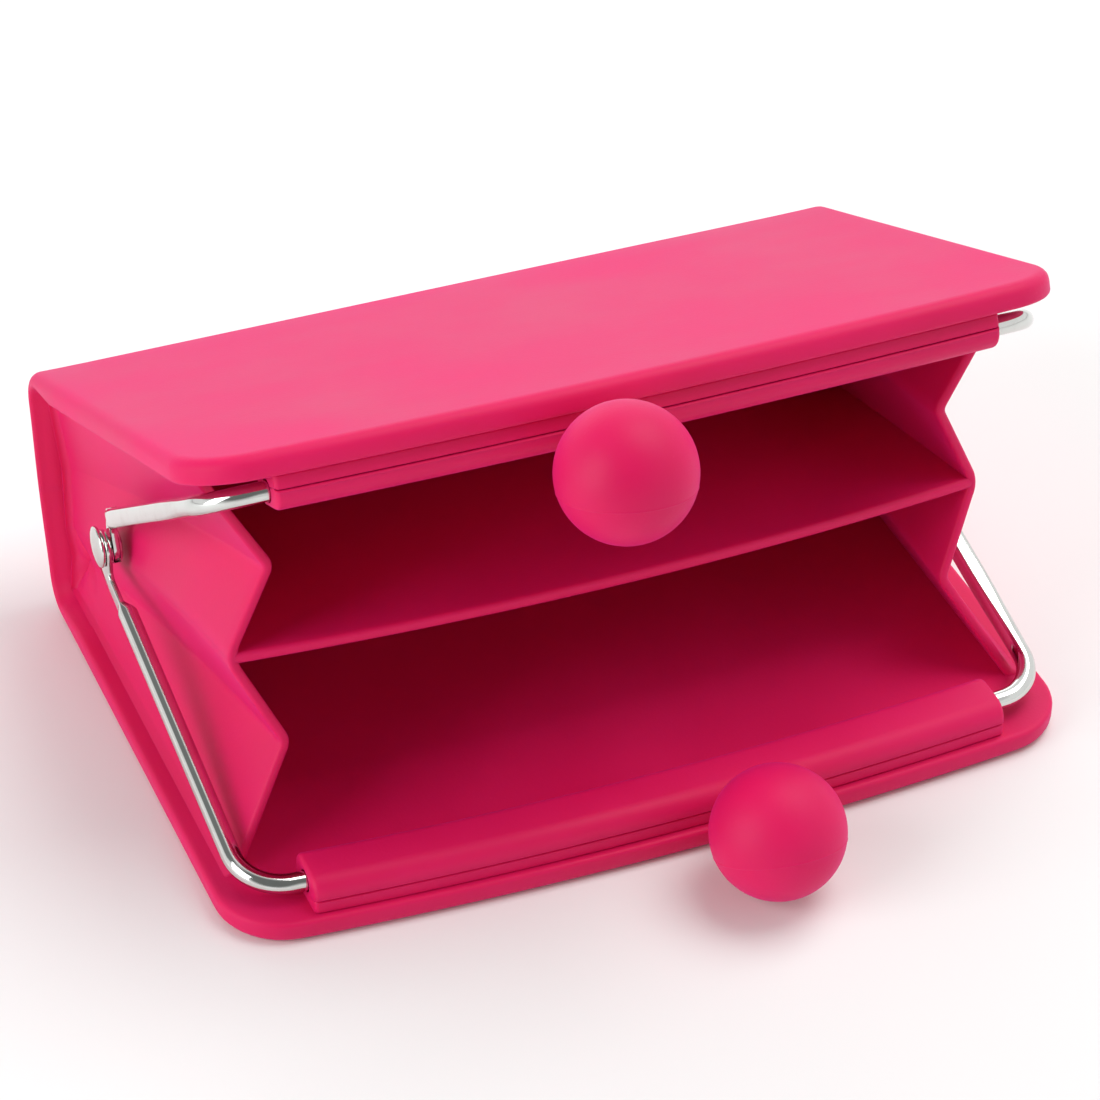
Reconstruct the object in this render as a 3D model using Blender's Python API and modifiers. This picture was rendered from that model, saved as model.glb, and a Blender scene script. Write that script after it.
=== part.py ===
"""Silicone wallet with a wire clasp frame, standing half open as it does when it is full.

Two stiff covers are joined by a soft spine. A divider stands out from the middle of the spine, and
a pleated bellows closes each side. Each cover holds one half of a wire frame in a sleeve along its
front edge. The two halves are the same part, riveted together at their eyes, and each carries a
ball knob on a stud. The upper half of the wallet is the lower half turned half a turn about the
line that runs forward through the middle of the opening, so the balls pass side by side.

Lower half: X to the right, s backward from the front edge, n up from the underside of the cover.
"""

import math

import bmesh
import bpy
from mathutils import Matrix, Vector

# Covers
COVER_WIDTH = 0.108
COVER_DEPTH = 0.070
COVER_THICKNESS = 0.0030
FRONT_BOW = 0.0028
FRONT_CORNER_RADIUS = 0.0085
OUTER_RIM_ROUND = 0.0013
INNER_RIM_ROUND = 0.0004

# Spine, and the fold axis that runs through the middle of it
SPINE_HEIGHT = 0.0320
SPINE_THICKNESS = 0.0024
SPINE_CORNER_RADIUS = 0.0050
SPINE_BULGE = 0.0005
SPINE_LEG = 0.0060
FOLD_SETBACK = 0.0012
OPEN_ANGLE = math.radians(24.3)

# Divider
DIVIDER_THICKNESS = 0.0014
DIVIDER_SETBACK = 0.0150
DIVIDER_BOW = 0.0032
DIVIDER_CORNER_RADIUS = 0.0012

# Side bellows
BELLOWS_WALL = 0.0013
BELLOWS_INSET = 0.0062
BELLOWS_BASE_INSET = 0.0026
BELLOWS_SETBACK = 0.0097
PLEAT_DEPTH = 0.0065
PLEAT_FADE = 0.0004
FOLD_ROUND = 0.0009
PLEAT_HEIGHT_SHARE = 0.57

# Sleeves along the front edges
SLEEVE_END_INSET = 0.0097
SLEEVE_DEPTH = 0.0070
SLEEVE_INSET = 0.0010
SLEEVE_TOP = 0.0074
SLEEVE_FRONT_ROUND = 0.0022
SLEEVE_BACK_ROUND = 0.0015
SLEEVE_BASE_ROUND = 0.0003
SLEEVE_END_ROUND = 0.0012
SLIT_WIDTH = 0.00035
SLIT_HEIGHT = 0.0048

# Wire frame halves
WIRE_DIAMETER = 0.0024
BAIL_INSET = 0.0028
BAIL_BEND_RADIUS = 0.0058
BAR_SETBACK = 0.0036
BAR_HEIGHT = 0.00535
BAR_CLEARANCE = 0.0002
PIVOT_REACH = 0.0190
EYE_OFFSET = 0.0031
EYE_RADIUS = 0.0023
EYE_THICKNESS = 0.0009
EYE_GAP = 0.0002
EYE_LAP = 0.0095
EYE_NECK = 0.0026

# Rivets and their washers
RIVET_RADIUS = 0.0009
RIVET_HEAD_RADIUS = 0.0026
RIVET_HEAD_HEIGHT = 0.0008
RIVET_CLEARANCE = 0.00012
RIVET_PLAY = 0.00045
WASHER_RADIUS = 0.0022
WASHER_THICKNESS = 0.0005
RIVET_TAIL = 0.0002

# Clasp studs and balls
BALL_RADIUS = 0.0081
BALL_OFFSET = 0.0082
BALL_FORWARD = 0.0116
BALL_HEIGHT = 0.0085
BALL_SOCKET_CLEARANCE = 0.0003
STUD_RADIUS = 0.0011
STUD_HEAD_RADIUS = 0.0036
STUD_FOOT_RADIUS = 0.0014
STUD_FOOT_LENGTH = 0.0004
STUD_HOLE_CLEARANCE = 0.00075

# Gap between neighbouring pieces, overrun of a cutting tool and welding distance
SEAT_GAP = 0.0003
OVERRUN = 0.0010
WELD = 0.000004

# Counts of segments
BOW_STEPS = 14
CORNER_STEPS = 6
ROUND_STEPS = 3
BEND_STEPS = 6
TURN_STEPS = 24
ARC_STEPS = 10
SLICE_STEPS = 10

HALF_WIDTH = COVER_WIDTH / 2
SLEEVE_LENGTH = COVER_WIDTH - 2 * SLEEVE_END_INSET
BAIL_WIDTH = COVER_WIDTH - 2 * BAIL_INSET
DIVIDER_REACH = COVER_DEPTH - DIVIDER_SETBACK
WIRE_RADIUS = WIRE_DIAMETER / 2
HALF_ANGLE = OPEN_ANGLE / 2
FORWARD = Vector((0.0, -math.cos(HALF_ANGLE), math.sin(HALF_ANGLE)))
ORIGIN_SETBACK = COVER_DEPTH / 2


def spot(x, s, n):
    """A point of the lower half, in the part's frame."""
    return Vector((x, s - ORIGIN_SETBACK, n))


SPINE_MIDDLE = spot(
    0.0,
    COVER_DEPTH + SPINE_HEIGHT / 2 * math.sin(HALF_ANGLE),
    SPINE_HEIGHT / 2 * math.cos(HALF_ANGLE),
)
FOLD_AXIS = SPINE_MIDDLE + FOLD_SETBACK * FORWARD
PIVOT = FOLD_AXIS + PIVOT_REACH * FORWARD
HALF_TURN = (
    Matrix.Translation(SPINE_MIDDLE)
    @ Matrix.Rotation(math.pi, 4, FORWARD)
    @ Matrix.Translation(-SPINE_MIDDLE)
)

# The bail's own plane: its origin on the line between the ends of the bar, a along the arms
BAR_END = spot(0.0, BAR_SETBACK, BAR_HEIGHT)
TO_PIVOT = PIVOT - BAR_END
ARM_LENGTH = math.sqrt(TO_PIVOT.length_squared - EYE_OFFSET**2)
ARM_ANGLE = math.atan2(TO_PIVOT.z, TO_PIVOT.y) - math.atan2(EYE_OFFSET, ARM_LENGTH)
BAIL_PLANE = Matrix.Translation(BAR_END) @ Matrix.Rotation(ARM_ANGLE, 4, "X")

# Turns a flat outline's own X, Y and thickness into Y, Z and X of the part
SIDEWAYS = Matrix(((0, 0, 1, 0), (1, 0, 0, 0), (0, 1, 0, 0), (0, 0, 0, 1)))

SILICONE_PINK = (0.76, 0.025, 0.13, 1.0)
SILICONE_DEEP = (0.68, 0.015, 0.09, 1.0)
NICKEL = (0.80, 0.79, 0.76, 1.0)


def bow(x, half_span, rise):
    """How far a front edge of this half span and rise stands forward at x, as part of a circle."""
    radius = (half_span**2 + rise**2) / (2 * rise)
    return math.sqrt(radius**2 - x**2) - (radius - rise)


def front_edge(x):
    return -bow(x, HALF_WIDTH, FRONT_BOW)


def rounded(points, radii, steps):
    """The closed outline through these points, with an arc of the given radius at each."""
    result = []
    for index, (point, radius) in enumerate(zip(points, radii)):
        here = Vector(point)
        if radius == 0:
            result.append(here)
            continue
        before = (Vector(points[index - 1]) - here).normalized()
        after = (Vector(points[(index + 1) % len(points)]) - here).normalized()
        half = before.angle(after) / 2
        centre = here + (before + after).normalized() * (radius / math.sin(half))
        start = here + before * (radius / math.tan(half)) - centre
        end = here + after * (radius / math.tan(half)) - centre
        sweep = start.angle_signed(end)
        for step in range(steps + 1):
            turn = Matrix.Rotation(-sweep * step / steps, 2)
            result.append(centre + turn @ start)
    return result


def evaluated_mesh(obj):
    """The mesh of an object with its modifiers, welded. The object is removed."""
    bpy.context.view_layer.update()
    graph = bpy.context.evaluated_depsgraph_get()
    mesh = bpy.data.meshes.new_from_object(obj.evaluated_get(graph))
    mesh.transform(obj.matrix_world)
    data = obj.data
    bpy.data.objects.remove(obj)
    if isinstance(data, bpy.types.Curve):
        bpy.data.curves.remove(data)
    else:
        bpy.data.meshes.remove(data)
    work = bmesh.new()
    work.from_mesh(mesh)
    bmesh.ops.remove_doubles(work, verts=work.verts, dist=WELD)
    bmesh.ops.recalc_face_normals(work, faces=work.faces)
    work.to_mesh(mesh)
    work.free()
    return mesh


def scene_object(name, data):
    obj = bpy.data.objects.new(name, data)
    bpy.context.scene.collection.objects.link(obj)
    return obj


def plate_mesh(name, loops, thickness):
    """A flat plate of this outline, with later loops as holes. It lies in XY, centred on Z."""
    curve = bpy.data.curves.new(name, "CURVE")
    curve.dimensions = "2D"
    curve.fill_mode = "BOTH"
    curve.extrude = thickness / 2
    for loop in loops:
        spline = curve.splines.new("POLY")
        spline.points.add(len(loop) - 1)
        for point, place in zip(spline.points, loop):
            point.co = (place[0], place[1], 0.0, 1.0)
        spline.use_cyclic_u = True
    mesh = evaluated_mesh(scene_object(name, curve))
    work = bmesh.new()
    work.from_mesh(mesh)
    flat = math.radians(1)
    bmesh.ops.dissolve_limit(work, angle_limit=flat, verts=work.verts, edges=work.edges)
    work.to_mesh(mesh)
    work.free()
    return mesh


def tube_mesh(name, points, radius):
    """A round wire or rod along these points."""
    curve = bpy.data.curves.new(name, "CURVE")
    curve.dimensions = "3D"
    curve.bevel_depth = radius
    curve.bevel_resolution = 2
    curve.use_fill_caps = True
    spline = curve.splines.new("POLY")
    spline.points.add(len(points) - 1)
    for point, place in zip(spline.points, points):
        point.co = (*place, 1.0)
    return evaluated_mesh(scene_object(name, curve))


def turned_mesh(name, profile, closed, steps=TURN_STEPS):
    """A profile of (radius, height) points turned about Z, outer side from top to bottom."""
    mesh = bpy.data.meshes.new(name)
    edges = [(index, index + 1) for index in range(len(profile) - 1)]
    if closed:
        edges.append((len(profile) - 1, 0))
    mesh.from_pydata([(radius, 0.0, height) for radius, height in profile], edges, [])
    obj = scene_object(name, mesh)
    screw = obj.modifiers.new("Turn", "SCREW")
    screw.axis = "Z"
    screw.angle = math.tau
    screw.steps = steps
    screw.render_steps = steps
    screw.use_merge_vertices = True
    screw.merge_threshold = WELD
    return evaluated_mesh(obj)


def bevel_edges(work, edges, radius):
    bmesh.ops.bevel(
        work,
        geom=edges,
        offset=radius,
        offset_type="OFFSET",
        segments=ROUND_STEPS,
        profile=0.5,
        affect="EDGES",
        clamp_overlap=True,
        material=-1,
    )


def lofted_mesh(name, rings):
    """A skin over rings of equal length, closed by a flat face at each end."""
    work = bmesh.new()
    rows = [[work.verts.new(place) for place in ring] for ring in rings]
    for near, far in zip(rows, rows[1:]):
        for side in range(len(near)):
            after = (side + 1) % len(near)
            work.faces.new((near[side], near[after], far[after], far[side]))
    work.faces.new(rows[0])
    work.faces.new(rows[-1])
    bmesh.ops.recalc_face_normals(work, faces=work.faces)
    mesh = bpy.data.meshes.new(name)
    work.to_mesh(mesh)
    work.free()
    return mesh


def combine(mesh, tools, operation):
    """The mesh joined with, or cut by, each of the tool meshes."""
    obj = scene_object(mesh.name, mesh)
    helpers = []
    for tool in tools:
        helper = bpy.data.objects.new("cutter", tool)
        CUTTERS.objects.link(helper)
        helper.hide_render = True
        helper.display_type = "WIRE"
        helpers.append(helper)
        boolean = obj.modifiers.new(operation.title(), "BOOLEAN")
        boolean.operation = operation
        boolean.solver = "EXACT"
        boolean.object = helper
    result = evaluated_mesh(obj)
    for helper in helpers:
        tool = helper.data
        bpy.data.objects.remove(helper)
        bpy.data.meshes.remove(tool)
    return result


def material(name, colour, roughness, metallic):
    surface = bpy.data.materials.new(name)
    surface.use_nodes = True
    shader = surface.node_tree.nodes["Principled BSDF"]
    shader.inputs["Base Color"].default_value = colour
    shader.inputs["Roughness"].default_value = roughness
    shader.inputs["Metallic"].default_value = metallic
    surface.diffuse_color = colour
    return surface


def axis_empty(name, place, parent=None):
    """An empty on a joint's axis, for the pieces that turn about it."""
    empty = bpy.data.objects.new(name, None)
    WALLET.objects.link(empty)
    empty.empty_display_size = COVER_THICKNESS
    empty.matrix_world = place
    if parent is not None:
        empty.parent = parent
        empty.matrix_parent_inverse = parent.matrix_world.inverted()
    bpy.context.view_layer.update()
    return empty


def add_piece(name, mesh, surface, parent):
    """One sub-part. Its mesh, made in place, is moved to its parent's origin."""
    mesh.name = name
    mesh.transform(parent.matrix_world.inverted())
    mesh.materials.clear()
    mesh.materials.append(surface)
    mesh.shade_smooth()
    mesh.set_sharp_from_angle(angle=math.radians(32))
    obj = bpy.data.objects.new(name, mesh)
    WALLET.objects.link(obj)
    obj.parent = parent
    return obj


def add_twins(names, mesh, surface, parents):
    """A piece of the lower half, and its twin on the upper half, which shares its mesh."""
    lower = add_piece(names[0], mesh, surface, parents[0])
    upper = bpy.data.objects.new(names[1], lower.data)
    WALLET.objects.link(upper)
    upper.parent = parents[1]


def cover_mesh():
    """A plate with a bowed front edge, round front corners and a softly rounded rim."""
    back = COVER_DEPTH - SPINE_LEG
    reach = HALF_WIDTH - FRONT_CORNER_RADIUS * 1.4
    front = [reach * (2 * step / BOW_STEPS - 1) for step in range(BOW_STEPS + 1)]
    points = [(-HALF_WIDTH, back), (-HALF_WIDTH, front_edge(HALF_WIDTH))]
    points += [(x, front_edge(x)) for x in front]
    points += [(HALF_WIDTH, front_edge(HALF_WIDTH)), (HALF_WIDTH, back)]
    radii = [0.0, FRONT_CORNER_RADIUS] + [0.0] * len(front) + [FRONT_CORNER_RADIUS, 0.0]
    outline = rounded(points, radii, CORNER_STEPS)
    mesh = plate_mesh("cover", [outline], COVER_THICKNESS)
    mesh.transform(Matrix.Translation(spot(0.0, 0.0, COVER_THICKNESS / 2)))
    rear = spot(0.0, back, 0.0).y - WELD
    round_rim(mesh, OUTER_RIM_ROUND, rear, lambda place: place.z < WELD)
    round_rim(mesh, INNER_RIM_ROUND, rear, lambda place: place.z > COVER_THICKNESS - WELD)
    return mesh


def round_rim(mesh, radius, rear, wanted):
    """Rounds a level rim, but not the edge along the back, where the spine carries on."""
    work = bmesh.new()
    work.from_mesh(mesh)
    edges = []
    for edge in work.edges:
        places = [vert.co for vert in edge.verts]
        level = abs(places[0].z - places[1].z) < WELD
        at_rear = all(place.y > rear for place in places)
        sharp = edge.is_manifold and edge.calc_face_angle(0.0) > math.radians(50)
        if sharp and level and not at_rear and all(wanted(place) for place in places):
            edges.append(edge)
    bevel_edges(work, edges, radius)
    work.to_mesh(mesh)
    work.free()


def mirrored(point):
    """The same place on the upper half, for a point of the section through the wallet."""
    turned = HALF_TURN @ Vector((0.0, point[0], point[1]))
    return (turned.y, turned.z)


def section(s, n):
    """A point of the section through the wallet, as (y, z) of the part."""
    place = spot(0.0, s, n)
    return (place.y, place.z)


def spine_mesh():
    """A strip with a leg that carries on from each cover and a round outer corner at each end."""
    end = COVER_DEPTH - SPINE_LEG + SEAT_GAP
    inner_lift = SPINE_THICKNESS / math.cos(HALF_ANGLE)
    corner_in = COVER_DEPTH + COVER_THICKNESS * math.tan(HALF_ANGLE) - inner_lift
    middle_out = SPINE_MIDDLE - SPINE_BULGE * FORWARD
    middle_in = SPINE_MIDDLE + (SPINE_THICKNESS - SPINE_BULGE) * FORWARD
    lower = [
        section(end, COVER_THICKNESS),
        section(end, 0.0),
        section(COVER_DEPTH, 0.0),
    ]
    points = lower + [(middle_out.y, middle_out.z)]
    points += [mirrored(point) for point in reversed(lower)]
    points += [mirrored(section(corner_in, COVER_THICKNESS)), (middle_in.y, middle_in.z)]
    points += [section(corner_in, COVER_THICKNESS)]
    inner = SPINE_CORNER_RADIUS - SPINE_THICKNESS
    radii = [0.0, 0.0, SPINE_CORNER_RADIUS, 0.0, SPINE_CORNER_RADIUS, 0.0, 0.0]
    radii += [inner, 0.0, inner]
    outline = rounded(points, radii, CORNER_STEPS)
    mesh = plate_mesh("spine", [outline], COVER_WIDTH)
    mesh.transform(SIDEWAYS)
    return mesh


def divider_mesh():
    """A thin shelf from the spine to its bowed front edge, halfway between the covers."""
    half = bellows_half_width() - BELLOWS_WALL - SEAT_GAP
    back = FOLD_SETBACK - SPINE_THICKNESS + SPINE_BULGE - SEAT_GAP
    points = [(-half, back), (-half, -DIVIDER_REACH)]
    for step in range(1, BOW_STEPS):
        x = half * (2 * step / BOW_STEPS - 1)
        points.append((x, -DIVIDER_REACH - bow(x, half, DIVIDER_BOW)))
    points += [(half, -DIVIDER_REACH), (half, back)]
    radii = [0.0, DIVIDER_CORNER_RADIUS] + [0.0] * (BOW_STEPS - 1)
    radii += [DIVIDER_CORNER_RADIUS, 0.0]
    mesh = plate_mesh("divider", [rounded(points, radii, ROUND_STEPS)], DIVIDER_THICKNESS)
    mesh.transform(Matrix.Translation(FOLD_AXIS) @ Matrix.Rotation(-HALF_ANGLE, 4, "X"))
    return mesh


def bellows_half_width():
    """Where the middle of the bellows wall stands along the fold between its two pleats."""
    return HALF_WIDTH - BELLOWS_INSET - BELLOWS_WALL / 2


def pleat_row(bottom, top, depth):
    """One slice across the pleat: straight up to a rounded fold, and straight on to its top."""
    peak = bottom.lerp(top, PLEAT_HEIGHT_SHARE) - Vector((depth, 0.0, 0.0))
    before = (bottom - peak).normalized()
    after = (top - peak).normalized()
    half = before.angle(after) / 2
    start = peak + before * (FOLD_ROUND / math.tan(half))
    end = peak + after * (FOLD_ROUND / math.tan(half))
    centre = peak + (before + after).normalized() * (FOLD_ROUND / math.sin(half))
    first = (start - centre).normalized()
    last = (end - centre).normalized()
    row = [bottom]
    for step in range(CORNER_STEPS + 1):
        row.append(centre + first.slerp(last, step / CORNER_STEPS) * FOLD_ROUND)
    return row + [top]


def bellows_mesh():
    """The lower pleat of the right-hand bellows: a sheet that folds inward, deepest in front.

    It runs from the cover to the fold halfway up the opening, and its wall is built both ways.
    """
    wall = Vector((bellows_half_width(), 0.0, 0.0))
    foot = HALF_WIDTH - BELLOWS_BASE_INSET - BELLOWS_WALL / 2
    base = COVER_THICKNESS + SEAT_GAP
    clear = SPINE_THICKNESS + SEAT_GAP + BELLOWS_WALL
    base_front = spot(foot, BELLOWS_SETBACK, base)
    base_back = spot(foot, COVER_DEPTH - clear, base)
    valley_front = wall + FOLD_AXIS + DIVIDER_REACH * FORWARD
    valley_back = wall + FOLD_AXIS + (clear - FOLD_SETBACK) * FORWARD
    work = bmesh.new()
    rows = []
    for step in range(SLICE_STEPS + 1):
        share = step / SLICE_STEPS
        depth = PLEAT_DEPTH * (1 - share) + PLEAT_FADE * share
        row = pleat_row(
            base_front.lerp(base_back, share), valley_front.lerp(valley_back, share), depth
        )
        rows.append([work.verts.new(place) for place in row])
    for near, far in zip(rows, rows[1:]):
        for side in range(len(near) - 1):
            work.faces.new((near[side], near[side + 1], far[side + 1], far[side]))
    bmesh.ops.recalc_face_normals(work, faces=work.faces)
    mesh = bpy.data.meshes.new("bellows")
    work.to_mesh(mesh)
    work.free()
    obj = scene_object("bellows", mesh)
    wall_build = obj.modifiers.new("Wall", "SOLIDIFY")
    wall_build.thickness = BELLOWS_WALL
    wall_build.offset = 0.0
    wall_build.use_even_offset = True
    result = evaluated_mesh(obj)
    trim_flat(result, spot(0.0, 0.0, base), Vector((0.0, 0.0, -1.0)))
    normal = Vector((0.0, math.sin(HALF_ANGLE), math.cos(HALF_ANGLE)))
    trim_flat(result, FOLD_AXIS - normal * (SEAT_GAP / 2), normal)
    return result


def trim_flat(mesh, place, normal):
    """Cuts off what lies beyond a plane, and closes the cut."""
    work = bmesh.new()
    work.from_mesh(mesh)
    everything = work.verts[:] + work.edges[:] + work.faces[:]
    cut = bmesh.ops.bisect_plane(
        work, geom=everything, dist=WELD, plane_co=place, plane_no=normal, clear_outer=True
    )
    rim = [item for item in cut["geom_cut"] if isinstance(item, bmesh.types.BMEdge)]
    open_rim = [edge for edge in rim if edge.is_boundary]
    if open_rim:
        bmesh.ops.holes_fill(work, edges=open_rim, sides=0)
    bmesh.ops.recalc_face_normals(work, faces=work.faces)
    work.to_mesh(mesh)
    work.free()


def band_outline(front_shift, back_shift, half_length, round_end):
    """A band that follows the front edge, as an outline in X and s."""
    xs = [half_length * (2 * step / BOW_STEPS - 1) for step in range(BOW_STEPS + 1)]
    front = [(x, front_edge(x) + front_shift) for x in xs]
    back = [(x, front_edge(x) + back_shift) for x in reversed(xs)]
    radii = [round_end] + [0.0] * (BOW_STEPS - 1) + [round_end]
    return rounded(front + back, radii + radii, ROUND_STEPS)


def bar_points(reach):
    """The cross bar of the frame, bowed like the front edge, in the bail's plane."""
    base = front_edge(SLEEVE_LENGTH / 2)
    xs = [reach * (2 * step / BOW_STEPS - 1) for step in range(BOW_STEPS + 1)]
    return [Vector((x, front_edge(x) - base, 0.0)) for x in xs]


def sleeve_ring(x, shrink):
    """A section of the sleeve at x, behind the bowed edge. It is drawn in towards its ends."""
    base = COVER_THICKNESS + SEAT_GAP
    height = SLEEVE_TOP - base
    corners = [(0.0, 0.0), (SLEEVE_DEPTH, 0.0), (SLEEVE_DEPTH, height), (0.0, height)]
    radii = [SLEEVE_BASE_ROUND, SLEEVE_BASE_ROUND, SLEEVE_BACK_ROUND, SLEEVE_FRONT_ROUND]
    middle = SLEEVE_DEPTH / 2
    ring = []
    for point in rounded(corners, radii, CORNER_STEPS):
        across = middle + (point.x - middle) * (1 - 2 * shrink / SLEEVE_DEPTH)
        up = point.y * (1 - shrink / height)
        ring.append(spot(x, front_edge(x) + SLEEVE_INSET + across, base + up))
    return ring


def sleeve_mesh():
    """A round-backed strip with a bore for the bar, a slit into it and a hole for the stud."""
    reach = SLEEVE_LENGTH / 2 - SLEEVE_END_ROUND
    end = []
    for step in range(1, ROUND_STEPS + 1):
        turn = math.pi / 2 * step / ROUND_STEPS
        end.append((reach + SLEEVE_END_ROUND * math.sin(turn), SLEEVE_END_ROUND * (1 - math.cos(turn))))
    stations = [(-x, shrink) for x, shrink in reversed(end)]
    stations += [(reach * (2 * step / BOW_STEPS - 1), 0.0) for step in range(BOW_STEPS + 1)]
    stations += end
    mesh = lofted_mesh("sleeve", [sleeve_ring(x, shrink) for x, shrink in stations])
    overshoot = SLEEVE_LENGTH / 2 + OVERRUN
    path = [BAIL_PLANE @ Vector((p.x, p.y, 0.0)) for p in bar_points(overshoot)]
    bore = tube_mesh("bore", path, WIRE_RADIUS + BAR_CLEARANCE)
    base = front_edge(SLEEVE_LENGTH / 2)
    slit_back = BAR_SETBACK - base
    slit = plate_mesh("slit", [band_outline(-OVERRUN, slit_back, overshoot, 0.0)], SLIT_WIDTH)
    slit.transform(Matrix.Translation(spot(0.0, 0.0, SLIT_HEIGHT)))
    hole = turned_mesh("hole", rod_profile(STUD_RADIUS + STUD_HOLE_CLEARANCE, stud_length()), False)
    hole.transform(stud_place())
    return combine(mesh, [bore, slit, hole], "DIFFERENCE")


def rod_profile(radius, length):
    return [(0.0, length), (radius, length), (radius, 0.0), (0.0, 0.0)]


def bail_mesh():
    """The U-shaped wire with a flattened eye at each end, one outside and one inside the stack."""
    half = BAIL_WIDTH / 2
    bar = bar_points(half - BAIL_BEND_RADIUS)
    bend = []
    for step in range(BEND_STEPS + 1):
        turn = math.pi / 2 * step / BEND_STEPS
        across = half - BAIL_BEND_RADIUS + BAIL_BEND_RADIUS * math.sin(turn)
        along = bar[-1].y + BAIL_BEND_RADIUS * (1 - math.cos(turn))
        bend.append(Vector((across, along, 0.0)))
    shoulder = ARM_LENGTH - EYE_LAP + WIRE_DIAMETER / 2
    right = bend + [Vector((half, shoulder, 0.0))]
    left = [Vector((-place.x, place.y, 0.0)) for place in reversed(right)]
    path = [BAIL_PLANE @ place for place in left + bar[1:-1] + right]
    wire = tube_mesh("bail", path, WIRE_RADIUS)
    outer = half + (EYE_THICKNESS + EYE_GAP) / 2
    inner = half - (EYE_THICKNESS + EYE_GAP) / 2
    left_eye = eye_mesh(RIVET_RADIUS + RIVET_CLEARANCE)
    left_eye.transform(Matrix.Translation((-outer, 0.0, 0.0)))
    right_eye = eye_mesh(RIVET_RADIUS + RIVET_PLAY)
    right_eye.transform(Matrix.Translation((inner, 0.0, 0.0)))
    return combine(wire, [left_eye, right_eye], "UNION")


def eye_mesh(hole_radius):
    """A flattened wire end that steps over to a ring round the rivet."""
    back = ARM_LENGTH
    start = back - EYE_LAP
    half_neck = EYE_NECK / 2
    ring = []
    for step in range(TURN_STEPS):
        turn = math.tau * step / TURN_STEPS
        ring.append((back + hole_radius * math.cos(turn), EYE_OFFSET + hole_radius * math.sin(turn)))
    points = [
        (start, -half_neck),
        (back + half_neck, -half_neck),
        (back + EYE_RADIUS, EYE_OFFSET + EYE_RADIUS),
        (back - EYE_RADIUS, EYE_OFFSET + EYE_RADIUS),
        (back - EYE_RADIUS - half_neck, half_neck),
        (start, half_neck),
    ]
    round_head = EYE_RADIUS * 0.9
    radii = [0.0, half_neck, round_head, round_head, half_neck, 0.0]
    outline = rounded(points, radii, CORNER_STEPS)
    mesh = plate_mesh("eye", [outline, ring], EYE_THICKNESS)
    mesh.transform(BAIL_PLANE @ SIDEWAYS)
    return mesh


def stud_foot():
    """Where the stud meets the bar: the bar's middle at the ball's own X."""
    ahead = -front_edge(BALL_OFFSET) + front_edge(SLEEVE_LENGTH / 2)
    return BAIL_PLANE @ Vector((BALL_OFFSET, -ahead, 0.0))


def ball_centre():
    return spot(BALL_OFFSET, -BALL_FORWARD, BALL_HEIGHT)


def stud_length():
    return (ball_centre() - stud_foot()).length


def stud_place():
    """The stud's frame: its origin on the bar's middle line, Z towards the ball."""
    along = (ball_centre() - stud_foot()).normalized()
    turn = Vector((0.0, 0.0, 1.0)).rotation_difference(along).to_matrix().to_4x4()
    return Matrix.Translation(stud_foot()) @ turn


def stud_mesh():
    """A short rod with a flared foot on the bar and a round head inside the ball."""
    foot = WIRE_RADIUS + SEAT_GAP
    centre = stud_length()
    neck = centre - math.sqrt(STUD_HEAD_RADIUS**2 - STUD_RADIUS**2)
    lowest = math.acos((neck - centre) / STUD_HEAD_RADIUS)
    profile = []
    for step in range(ARC_STEPS + 1):
        turn = lowest * step / ARC_STEPS
        profile.append(
            (STUD_HEAD_RADIUS * math.sin(turn), centre + STUD_HEAD_RADIUS * math.cos(turn))
        )
    profile += [
        (STUD_RADIUS, foot + 2 * STUD_FOOT_LENGTH),
        (STUD_FOOT_RADIUS, foot + STUD_FOOT_LENGTH),
        (STUD_FOOT_RADIUS, foot),
        (0.0, foot),
    ]
    mesh = turned_mesh("stud", profile, False)
    mesh.transform(stud_place())
    return mesh


def ball_mesh():
    """A ball with a socket for the stud's head and a bore for its rod."""
    centre = stud_length()
    bore = STUD_RADIUS + BALL_SOCKET_CLEARANCE
    socket = STUD_HEAD_RADIUS + BALL_SOCKET_CLEARANCE
    profile = sphere_arc(BALL_RADIUS, bore, centre)
    profile += reversed(sphere_arc(socket, bore, centre))
    mesh = turned_mesh("ball", profile, False, TURN_STEPS)
    mesh.transform(stud_place())
    return mesh


def sphere_arc(radius, bore, centre):
    """From the top of a sphere down to where a bore of this radius enters it."""
    lowest = math.pi - math.asin(bore / radius)
    arc = []
    for step in range(ARC_STEPS + 1):
        turn = lowest * step / ARC_STEPS
        arc.append((radius * math.sin(turn), centre + radius * math.cos(turn)))
    return arc


def stack_outside():
    """Outer face of the two eyes, as a distance from the middle of the wallet."""
    return BAIL_WIDTH / 2 + EYE_GAP / 2 + EYE_THICKNESS


def stack_inside():
    return BAIL_WIDTH / 2 - EYE_GAP / 2 - EYE_THICKNESS


def left_rivet_axis():
    """A frame on the left-hand rivet's axis, Z outward."""
    return Matrix.Translation((0.0, PIVOT.y, PIVOT.z)) @ Matrix.Rotation(-math.pi / 2, 4, "Y")


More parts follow.
